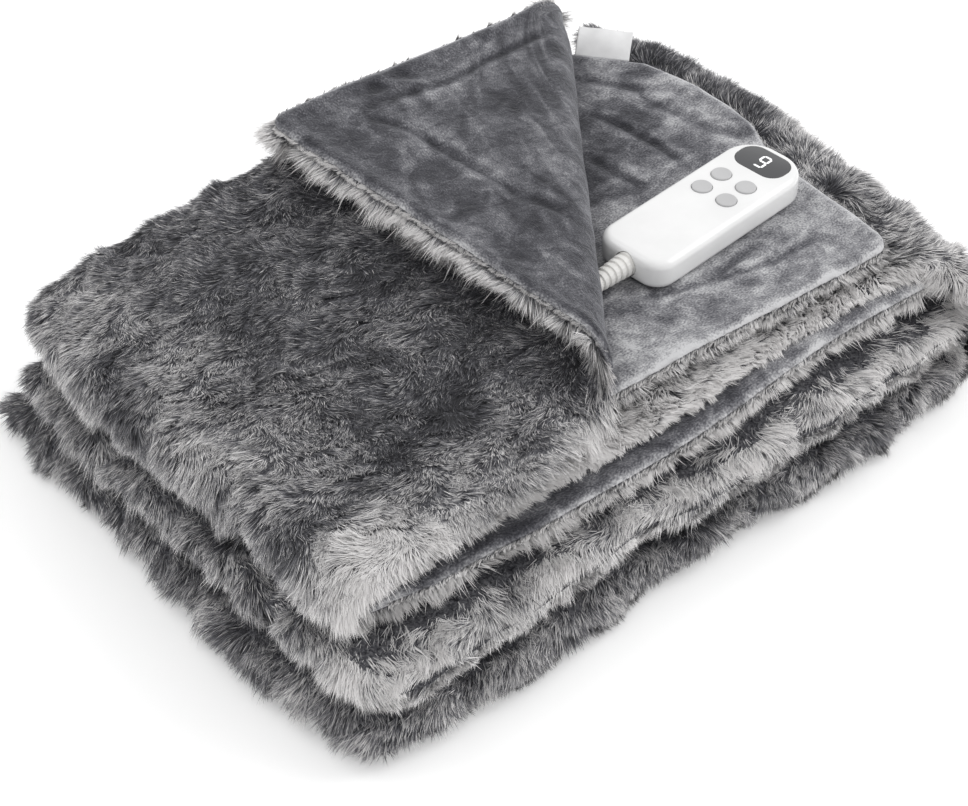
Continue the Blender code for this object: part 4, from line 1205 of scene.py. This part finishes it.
# %% the pieces of pile
TOP_FACES_UP, HEM_FROM = 0.75, 0.3
topness = np.where(is_top & (surface_normal[..., 2] > TOP_FACES_UP), 1.0, 0.0)
is_hem = at_hem[..., 0] > HEM_FROM
top_weight = weight * topness
body_weight = np.where(is_hem, 0.0, weight * (1 - topness))
hem_only = np.where(is_hem, weight, 0.0)
inner_weight = np.zeros(weight.shape)
inner_weight[fur_where["inner"]] = falloff(from_front[fur_where["inner"]], INNER_BAND, 4)
TOP_TUFTS, SIDE_TUFTS, FRINGE_TUFTS = (0.010, 0.0035), (0.014, 0.0045), (0.011, 0.0035)
PILE = {
    # seed, count, weight, length, width, lift, tufts, spread, sink, droop
    "pile_top": (11, 165000, top_weight, 0.0105, 0.0008, 0.52, TOP_TUFTS, 0.45),
    "pile_sides_a": (13, 185000, body_weight, 0.0140, 0.0008, 0.50, SIDE_TUFTS, 0.34, 0.2, 0.20),
    "pile_sides_b": (14, 185000, body_weight, 0.0140, 0.0008, 0.50, SIDE_TUFTS, 0.34, 0.2, 0.20),
    "pile_sides_c": (16, 100000, body_weight, 0.0145, 0.0008, 0.60, SIDE_TUFTS, 0.34, 0.2, 0.15),
    "pile_inner": (17, 28000, inner_weight, 0.0150, 0.0009, 0.95, SIDE_TUFTS, 0.40, 0.1),
    "pile_fringe": (15, 130000, hem_only, 0.0150, 0.0008, 0.42, FRINGE_TUFTS, 0.40, 0.3, 0.20),
}
pile_pieces = [locks(name, *values) for name, values in PILE.items()]

# %% [markdown]
# The velvet's cut edge is fuzzy too. A narrow strip runs over the thickness of the velvet
# at its hems, with its normal pointing outward, and short hairs are planted on it, pale
# with a painted sheen.

# %% hem fuzz
# The fuzz's pale tone is a painted sheen along the cut edge.
FUZZ_SHEEN_TONE, FUZZ_COUNT, FUZZ_SEED = 0.95, 4000, 30
FUZZ = {"length": 0.0042, "width": 0.0005, "lift": 0.9, "sizes": (0.006, 0.002), "spread": 0.8}


def hem_strip(lines, inner):
    """The fields that `locks` needs for a strip over the velvet's edge."""
    seam_edge, nap_edge = (surface[lines] for surface in (edge_seam, edge_nap))
    place = np.stack((seam_edge, (seam_edge + nap_edge) / 2, nap_edge), axis=1)
    outward = unit(seam_edge - edge_seam[inner])
    normal = np.repeat(outward[:, None], 3, axis=1)
    t_line = unit(np.gradient(place, axis=0))
    t_row = unit(nap_edge - seam_edge)[:, None] * np.ones((1, 3, 1))
    lie = unit(t_line * 0.3 + t_row * 0.3 + (0, 0, -0.5))
    flat = np.zeros(place.shape[:2])
    lengths = arc_lengths(place, 0), arc_lengths(place, 1)
    return (place, normal, lie, t_line, t_row, *lengths, flat, flat + FUZZ_SHEEN_TONE, flat + 1)


edge_seam, edge_nap = settle(seam_side), settle(nap_side)
strips = {}
for number, lines in enumerate((shelf, ledge, turned)):
    strips[f"{number}_front"] = hem_strip((lines, 0), (lines, 4))
    strips[f"{number}_back"] = hem_strip((lines, -1), (lines, -5))
strips["shelf_end"] = hem_strip(0, 4)
strips["flap_end"] = hem_strip(-1, -5)
for index, (key, fields) in enumerate(strips.items()):
    ones = np.ones(fields[0].shape[:2])
    pile_pieces.append(locks(f"hem_fuzz_{key}", FUZZ_SEED + index, FUZZ_COUNT, ones,
                             fields=fields, **FUZZ))
print(len(strips), "strips of fuzz")

# %% [markdown]
# Faux fur is dark at its roots and lighter at its tips. The material reads the values
# stored on each hair, with their painted light and shade, and a noise stretched from root
# to tip draws finer hairs on it. The bed under it takes the same greys from its own place,
# with a bump of fine streaks.

# %% fur material
FUR_STOPS = ((0.0, (0.012, 0.012, 0.015)), (0.3, (0.045, 0.045, 0.054)),
             (0.6, (0.15, 0.15, 0.165)), (1.0, (0.80, 0.785, 0.78)))
BED_STOPS = ((0.3, (0.020, 0.020, 0.024)), (0.5, (0.085, 0.085, 0.094)),
             (0.72, (0.20, 0.20, 0.21)))


def fur_material():
    """Level is 1.05 along + 1.25 tone + 1.20 noise - 1.29, from root to tip."""
    made, tree, shader = start_material("faux fur", Roughness=0.62, Sheen_Weight=0.25,
                                        Sheen_Roughness=0.5, Specular_IOR_Level=0.3)
    across, along, tone = stored_values(tree, "strand")
    stretched = plane_place(tree, across * 4.3, along * 0.9)
    hair = noise(tree, stretched, 1.6)
    level = (along * 1.05 + tone * 1.25 + hair * 1.20 - 1.29).clamped()
    colour_by(tree, shader, level, FUR_STOPS)
    return made


def bed_material():
    """The pile's depths: dark grey with fine streaks, and a bump of the same streaks."""
    made, tree, shader = start_material("fur bed", Roughness=0.9, Specular_IOR_Level=0.1)
    streaks = noise(tree, object_place(tree), 420.0, 3.0, 1.2)
    colour_by(tree, shader, streaks, BED_STOPS)
    bump_by(tree, shader, streaks, 0.9, 0.002)
    return made


fur = fur_material()
for piece in pile_pieces:
    piece.data.materials.append(fur)
    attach(piece, BODY)
bed.data.materials.append(bed_material())
print(len(pile_pieces), "pieces of pile and the bed have their look")

# %% [markdown]
# Velvet is short pile that has been crushed by use. Large patches, middle-sized crushing
# and single fibres are three noises of falling size. They are added to the tone with its
# painted light and shade stored on the mesh and read off one ramp of greys. A picture of
# real velvet would repeat or blur when seen close, and noise does neither.

# %% velvet material
VELVET_STOPS = ((0.0, (0.012, 0.012, 0.016)), (0.3, (0.045, 0.045, 0.053)),
                (0.5, (0.11, 0.11, 0.122)), (0.7, (0.24, 0.24, 0.253)),
                (1.0, (0.54, 0.54, 0.55)))
SHEEN_TINT = (0.85, 0.86, 0.90, 1.0)


def velvet_material():
    """Level is the stored painted shade + 1.0 patches + 0.5 crushing + 0.9 fibres, each noise about
    zero.
    """
    made, tree, shader = start_material("velvet", Roughness=0.7, Sheen_Weight=0.5,
                                        Sheen_Roughness=0.4, Specular_IOR_Level=0.2,
                                        Sheen_Tint=SHEEN_TINT)
    along, across, shade = stored_values(tree, "cloth_place")
    patches = noise(tree, plane_place(tree, along * 32.0, across * 42.0), 1.0, 2.0, 1.0)
    crushed = noise(tree, object_place(tree), 130.0, 2.0, 0.6)
    fibres = noise(tree, plane_place(tree, along * 700.0, across * 1000.0), 1.0)
    # The stored shade holds painted light, shadow and sheen; the noises add random tone.
    level = shade + (patches - 0.5) * 1.0 + (crushed - 0.5) * 0.50 + (fibres - 0.5) * 0.9
    colour_by(tree, shader, level.clamped(), VELVET_STOPS)
    bump_by(tree, shader, fibres * 0.5 + crushed * 1.5, 0.7, 0.0012)
    return made


velvet.data.materials.append(velvet_material())
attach(velvet, BODY)
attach(bed, BODY)
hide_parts("velvet_face")
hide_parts("fur_face")

# %% [markdown]
# The handset is a slab whose plan is a rectangle with round corners, larger at the far
# end. Drawing the plan in by d keeps the corners' middles and takes d off their radii, so
# a rounded edge is a stack of such outlines. A Bevel modifier could round a plain box, but
# not with two sizes of corner. The wells and the window's pocket are cut with a Boolean
# modifier, which is applied at once.

# %% handset shapes
HANDSET_LENGTH, HANDSET_WIDTH, HANDSET_HEIGHT = 0.132, 0.049, 0.0185
FAR_RADIUS, NEAR_RADIUS, EDGE_RADIUS = 0.0205, 0.0130, 5.0 * MM
WINDOW_AT, WINDOW_SIZE = 0.0496, (0.0218, 0.0340)
WINDOW_CORNER, WINDOW_DEPTH, WINDOW_EDGE = 9.5 * MM, 1.2 * MM, 0.05 * MM
BUTTON_RADIUS, WELL_RADIUS, WELL_DEPTH = 5.9 * MM, 6.2 * MM, 3.3 * MM
SOCKET_RADIUS, SOCKET_REACH, SOCKET_STEPS = 7.5 * MM, 3 * MM, 48
CUT_PAST, SHARP_FROM = 2 * MM, math.radians(35)
UP = np.array((0.0, 0.0, 1.0))
handset_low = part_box("handset_body")[0].z
handset_origin = np.array((*(HANDSET_AT + SHIFT[:2]), handset_low))
along_handset = np.array((*handset_along, 0.0))
across_handset = np.array((-handset_along[1], handset_along[0], 0.0))


def in_handset(points):
    """Points given along, across and above the handset's foot, put in the scene's frame."""
    x, y, z = points[..., 0:1], points[..., 1:2], points[..., 2:3]
    return handset_origin + x * along_handset + y * across_handset + z * UP


def plan_outline(length, width, near, far, inset, steps=20):
    """The closed outline of a round-cornered plan, drawn in by inset, anticlockwise."""
    turn = np.linspace(0, math.pi / 2, steps)
    quarters = ((1, 1, far), (-1, 1, near), (-1, -1, near), (1, -1, far))
    parts = []
    for start, (x_side, y_side, radius) in enumerate(quarters):
        angle = turn + start * math.pi / 2
        middle = np.array((x_side * (length / 2 - radius), y_side * (width / 2 - radius)))
        parts.append(middle + (radius - inset) * np.stack((np.cos(angle), np.sin(angle)), axis=-1))
    return np.concatenate(parts)


def stacked(name, rings, sharp_from=SHARP_FROM):
    """A closed solid from outlines stacked from the bottom up, with flat ends."""
    count, size = len(rings), len(rings[0])
    number = np.arange(count * size).reshape(count, size)
    following = np.roll(number, -1, axis=1)
    quads = np.stack((number[:-1], following[:-1], following[1:], number[1:]), axis=-1)
    faces = quads.reshape(-1, 4).tolist() + [number[0, ::-1].tolist(), number[-1].tolist()]
    made = mesh_object(name, np.concatenate(rings), faces)
    made.data.set_sharp_from_angle(angle=sharp_from)
    return made


def slab_rings(size, near, far, bottom, top, edge, steps=8):
    """Outlines of a slab: a quarter round of radius edge at the foot and at the top."""
    angles = np.linspace(0, math.pi / 2, steps)
    levels = [(edge * (1 - math.sin(a)), bottom + edge * (1 - math.cos(a))) for a in angles]
    levels += [(edge * (1 - math.cos(a)), top - edge * (1 - math.sin(a))) for a in angles]
    rings = []
    for inset, height in levels:
        plan = plan_outline(*size, near, far, inset)
        rings.append(np.column_stack((plan, np.full(len(plan), height))))
    return rings


def disc_rings(middle, profile, steps=48):
    """Circles about an upright axis, one for each radius and height of the profile."""
    angle = np.linspace(0, 2 * math.pi, steps, endpoint=False)
    round_plan = np.stack((np.cos(angle), np.sin(angle)), axis=-1)
    return [np.column_stack((middle[:2] + radius * round_plan, np.full(steps, height)))
            for radius, height in profile]


print("outlines ready")

# %% the handset's shell
def cut_from(solid, cutters):
    """Takes the cutters out of the solid with Boolean modifiers, and applies them."""
    for cutter in cutters:
        boolean = solid.modifiers.new(cutter.name, "BOOLEAN")
        boolean.operation, boolean.solver, boolean.object = "DIFFERENCE", "EXACT", cutter
    bpy.context.view_layer.update()
    evaluated = solid.evaluated_get(bpy.context.evaluated_depsgraph_get())
    mesh = bpy.data.meshes.new_from_object(evaluated)
    solid.modifiers.clear()
    solid.data = mesh
    mesh.set_sharp_from_angle(angle=SHARP_FROM)
    for cutter in cutters:
        bpy.data.objects.remove(cutter)


def window_slab(name, gap, bottom, top, edge, steps):
    """A slab in the shape of the window, this much smaller all round."""
    size, corner = tuple(side - 2 * gap for side in WINDOW_SIZE), WINDOW_CORNER - gap
    rings = slab_rings(size, corner, corner, bottom, top, edge, steps)
    return stacked(name, [in_handset(ring + (WINDOW_AT, 0, 0)) for ring in rings])


top_z = HANDSET_HEIGHT
shell_size = (HANDSET_LENGTH, HANDSET_WIDTH)
shell_rings = slab_rings(shell_size, NEAR_RADIUS, FAR_RADIUS, 0.0, top_z, EDGE_RADIUS)
shell = stacked("handset_shell", [in_handset(ring) for ring in shell_rings])
pocket_floor = top_z - WINDOW_DEPTH
pocket = window_slab("pocket", 0.0, pocket_floor, top_z + CUT_PAST, WINDOW_EDGE, 2)
shell_top = handset_low + top_z
cutters = [pocket]
for number, middle in enumerate(buttons, start=1):
    plan_middle = np.array(middle[:2])
    profile = ((WELL_RADIUS, shell_top - WELL_DEPTH), (WELL_RADIUS, shell_top + CUT_PAST))
    cutters.append(stacked(f"well_{number}", disc_rings(plan_middle, profile)))
angle = np.linspace(0, 2 * math.pi, SOCKET_STEPS, endpoint=False)
socket_y, socket_z = SOCKET_RADIUS * np.cos(angle), top_z / 2 + SOCKET_RADIUS * np.sin(angle)
socket_x = (-HANDSET_LENGTH / 2 - SOCKET_REACH, -HANDSET_LENGTH / 2 + SOCKET_REACH)
socket_rings = [np.column_stack((np.full(SOCKET_STEPS, x), socket_y, socket_z)) for x in socket_x]
cutters.append(stacked("socket", [in_handset(ring) for ring in socket_rings]))
cut_from(shell, cutters)
print("handset shell:", len(shell.data.polygons), "faces")

# %% [markdown]
# The dark pane lies a little loose in its pocket, so a thin shadow runs round it. A lit
# display draws a digit from seven bars with pointed ends, and six of them are lit here.
# They are thin solids a hair above the pane. Each button is a turned profile with a
# dished top, like a lathe's work.

# %% window, digit and buttons
PANE_GAP, PANE_EDGE = 0.3 * MM, 0.25 * MM
pane = window_slab("handset_pane", PANE_GAP, pocket_floor + PANE_GAP, top_z, PANE_EDGE, 4)
DIGIT_WIDTH, DIGIT_HEIGHT, STROKE = 6.6 * MM, 11.8 * MM, 1.35 * MM
BAR_GAP, BAR_FOOT, BAR_TOP = 0.14 * MM, 0.01 * MM, 0.05 * MM
half_w, half_h = (DIGIT_WIDTH - STROKE) / 2, (DIGIT_HEIGHT - STROKE) / 2
SEGMENTS = (
    # middle across and up, half length, upright or not
    (0, half_h, half_w, False), (0, 0, half_w, False), (0, -half_h, half_w, False),
    (-half_w, half_h / 2, half_h / 2, True), (half_w, half_h / 2, half_h / 2, True),
    (half_w, -half_h / 2, half_h / 2, True),
)
bars, bar_faces = [], []
for number, (middle_u, middle_v, reach, upright) in enumerate(SEGMENTS):
    reach, thick = reach - BAR_GAP, STROKE / 2
    hexagon = np.array(((reach, 0), (reach - thick, thick), (thick - reach, thick), (-reach, 0),
                        (thick - reach, -thick), (reach - thick, -thick)))
    if upright:
        hexagon = hexagon[:, ::-1] * (-1, 1)
    u, v = middle_u + hexagon[:, 0], middle_v + hexagon[:, 1]
    for height in (top_z + BAR_FOOT, top_z + BAR_TOP):
        bars.append(np.column_stack((WINDOW_AT + v, -u, np.full(6, height))))
    first = 12 * number
    low, high = [first + i for i in range(6)], [first + 6 + i for i in range(6)]
    bar_faces += [low[::-1], high]
    bar_faces += [[low[i], low[(i + 1) % 6], high[(i + 1) % 6], high[i]] for i in range(6)]
digit = mesh_object("window_digit", in_handset(np.concatenate(bars)), bar_faces, smooth=False)
caps = []
for number, middle in enumerate(buttons, start=1):
    low, high = (corner.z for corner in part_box(f"button_{number}"))
    r = BUTTON_RADIUS
    profile = ((r, low), (r, high - 0.5 * MM), (r - 0.15 * MM, high - 0.15 * MM),
               (r - 0.5 * MM, high), (r - 1.2 * MM, high - 0.06 * MM),
               (r * 0.5, high - 0.22 * MM), (r * 0.2, high - 0.27 * MM))
    rings = disc_rings(np.array(middle[:2]), profile)
    caps.append(stacked(f"button_cap_{number}", rings, math.radians(60)))
print("pane, digit and", len(caps), "button caps")

# %% [markdown]
# The label is a tab of white satin, sewn into the end seam. It is a thin sheet whose free
# end curls a little: its height over a flat tab is 1.4 mm times a half sine. Its width and
# length run along two directions of its own, because it leans out from the roll.

# %% label
LABEL_SIZE, LABEL_THICK = (0.034, 0.019), 0.5 * MM
LABEL_FOOT = np.array((0.1840, 0.1195))
LABEL_DIRECTION, LABEL_LEAN = math.radians(-52), math.radians(38)
LABEL_BOW, LABEL_CURL = 1.4 * MM, 0.5 * MM
label_x = np.array((math.cos(LABEL_DIRECTION), math.sin(LABEL_DIRECTION), 0.0))
label_y = np.array((-math.sin(LABEL_DIRECTION) * math.cos(LABEL_LEAN),
                    math.cos(LABEL_DIRECTION) * math.cos(LABEL_LEAN), math.sin(LABEL_LEAN)))
label_out = np.cross(label_x, label_y)
u, v = np.meshgrid(np.linspace(-0.5, 0.5, 41), np.linspace(0, 1, 25), indexing="ij")
bow = LABEL_BOW * np.sin(math.pi * v) * (1 + 0.3 * np.sin(7 * u)) + LABEL_CURL * np.cos(9 * u) * v
foot = np.array((*(LABEL_FOOT + SHIFT[:2]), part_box("handset_body")[0].z))
tab = foot + u[..., None] * LABEL_SIZE[0] * label_x + v[..., None] * LABEL_SIZE[1] * label_y
upper = tab + (bow + LABEL_THICK)[..., None] * label_out
lower = tab + bow[..., None] * label_out
label = closed_sheet("satin_label", upper, lower)
flipped = (np.cross(upper[1, 0] - upper[0, 0], upper[0, 1] - upper[0, 0]) @ label_out) < 0
if flipped:
    label.data.flip_normals()
print("label faces", len(label.data.polygons))

# %% [markdown]
# Moulded plastic is never quite even: its colour mottles faintly and a fine grain breaks
# up its gloss. One function makes all four plastics, from the glossy housing to the dark
# window. Satin shines along its threads, so a wave on the label's own direction draws
# them as a bump. The lit digit glows a little, as a display does.

# %% plastic and satin
MOTTLE, GLOSS_CHANGE, GRAIN_DEPTH = 0.95, 0.12, 0.0001
SATIN_STOPS = ((0.3, (0.74, 0.74, 0.745)), (0.7, (0.84, 0.84, 0.845)))
DIGIT_STOPS = ((0.3, (0.86, 0.87, 0.88)), (0.7, (0.93, 0.93, 0.93)))


def plastic(name, colour, roughness, grain, coat=0.0):
    """Moulded plastic: one colour with a faint mottle, and gloss that varies with it."""
    made, tree, shader = start_material(name, Specular_IOR_Level=0.5, Coat_Weight=coat,
                                        Coat_Roughness=0.12)
    place = object_place(tree)
    slow, fine = noise(tree, place, 45.0, 3.0), noise(tree, place, 1400.0)
    darker = tuple(channel * MOTTLE for channel in colour)
    colour_by(tree, shader, slow, ((0.35, darker), (0.65, colour)))
    feed(tree, shader, "Roughness", roughness + (slow - 0.5) * GLOSS_CHANGE)
    bump_by(tree, shader, fine, grain, GRAIN_DEPTH)
    return made


def satin_material():
    """Satin: fine floats across the tab, drawn by a wave on the label's own direction."""
    made, tree, shader = start_material("white satin", Roughness=0.38, Sheen_Weight=0.25)
    place = object_place(tree)
    turned = node(tree, "ShaderNodeMapping", None, {0: place, 2: (0.0, 0.0, -LABEL_DIRECTION)})
    values = {"Vector": turned, "Scale": 700.0, "Distortion": 1.0, "Detail": 1.0}
    warp = node(tree, "ShaderNodeTexWave", {"bands_direction": "X"}, values)
    slow = noise(tree, place, 90.0)
    colour_by(tree, shader, slow, SATIN_STOPS)
    bump_by(tree, shader, warp + slow * 0.6, 0.35, 0.0002)
    return made


def digit_material():
    made, tree, shader = start_material("lit digit", Roughness=0.4, Emission_Strength=0.35,
                                        Emission_Color=WHITE)
    colour_by(tree, shader, noise(tree, object_place(tree), 300.0), DIGIT_STOPS)
    return made


white = plastic("white gloss plastic", (0.82, 0.82, 0.82), 0.22, 0.10, coat=0.3)
sleeve = plastic("sleeve plastic", (0.78, 0.77, 0.75), 0.42, 0.35)
button_grey = plastic("button plastic", (0.50, 0.50, 0.505), 0.45, 0.30)
glass = plastic("dark window", (0.052, 0.053, 0.057), 0.10, 0.02, coat=0.5)
looks = {shell: (white, "white_plastic"), pane: (glass, "window"),
         digit: (digit_material(), "white_plastic"), label: (satin_material(), "satin")}
for piece, (look, slot) in looks.items():
    piece.data.materials.clear()
    piece.data.materials.append(look)
    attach(piece, BODY)
for number, cap in enumerate(caps, start=1):
    cap.data.materials.append(button_grey)
    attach(cap, f"key_{number}")
    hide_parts(f"button_{number}")
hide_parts("handset_body")
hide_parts("handset_window")
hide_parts("label")
relief_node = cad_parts["strain_relief"]
for slot in relief_node.material_slots:
    slot.material = sleeve
print("materials set")

# %% [markdown]
# The box round everything shown is set against the box of the imported model, and how
# far each side moves is printed in millimetres.

# %% how far the looks grow past the model
visual_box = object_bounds()
growth = [[round((after - before) / MM, 1) for before, after in zip(*ends)]
          for ends in zip(cad_box, visual_box)]
print("box grows by", growth)
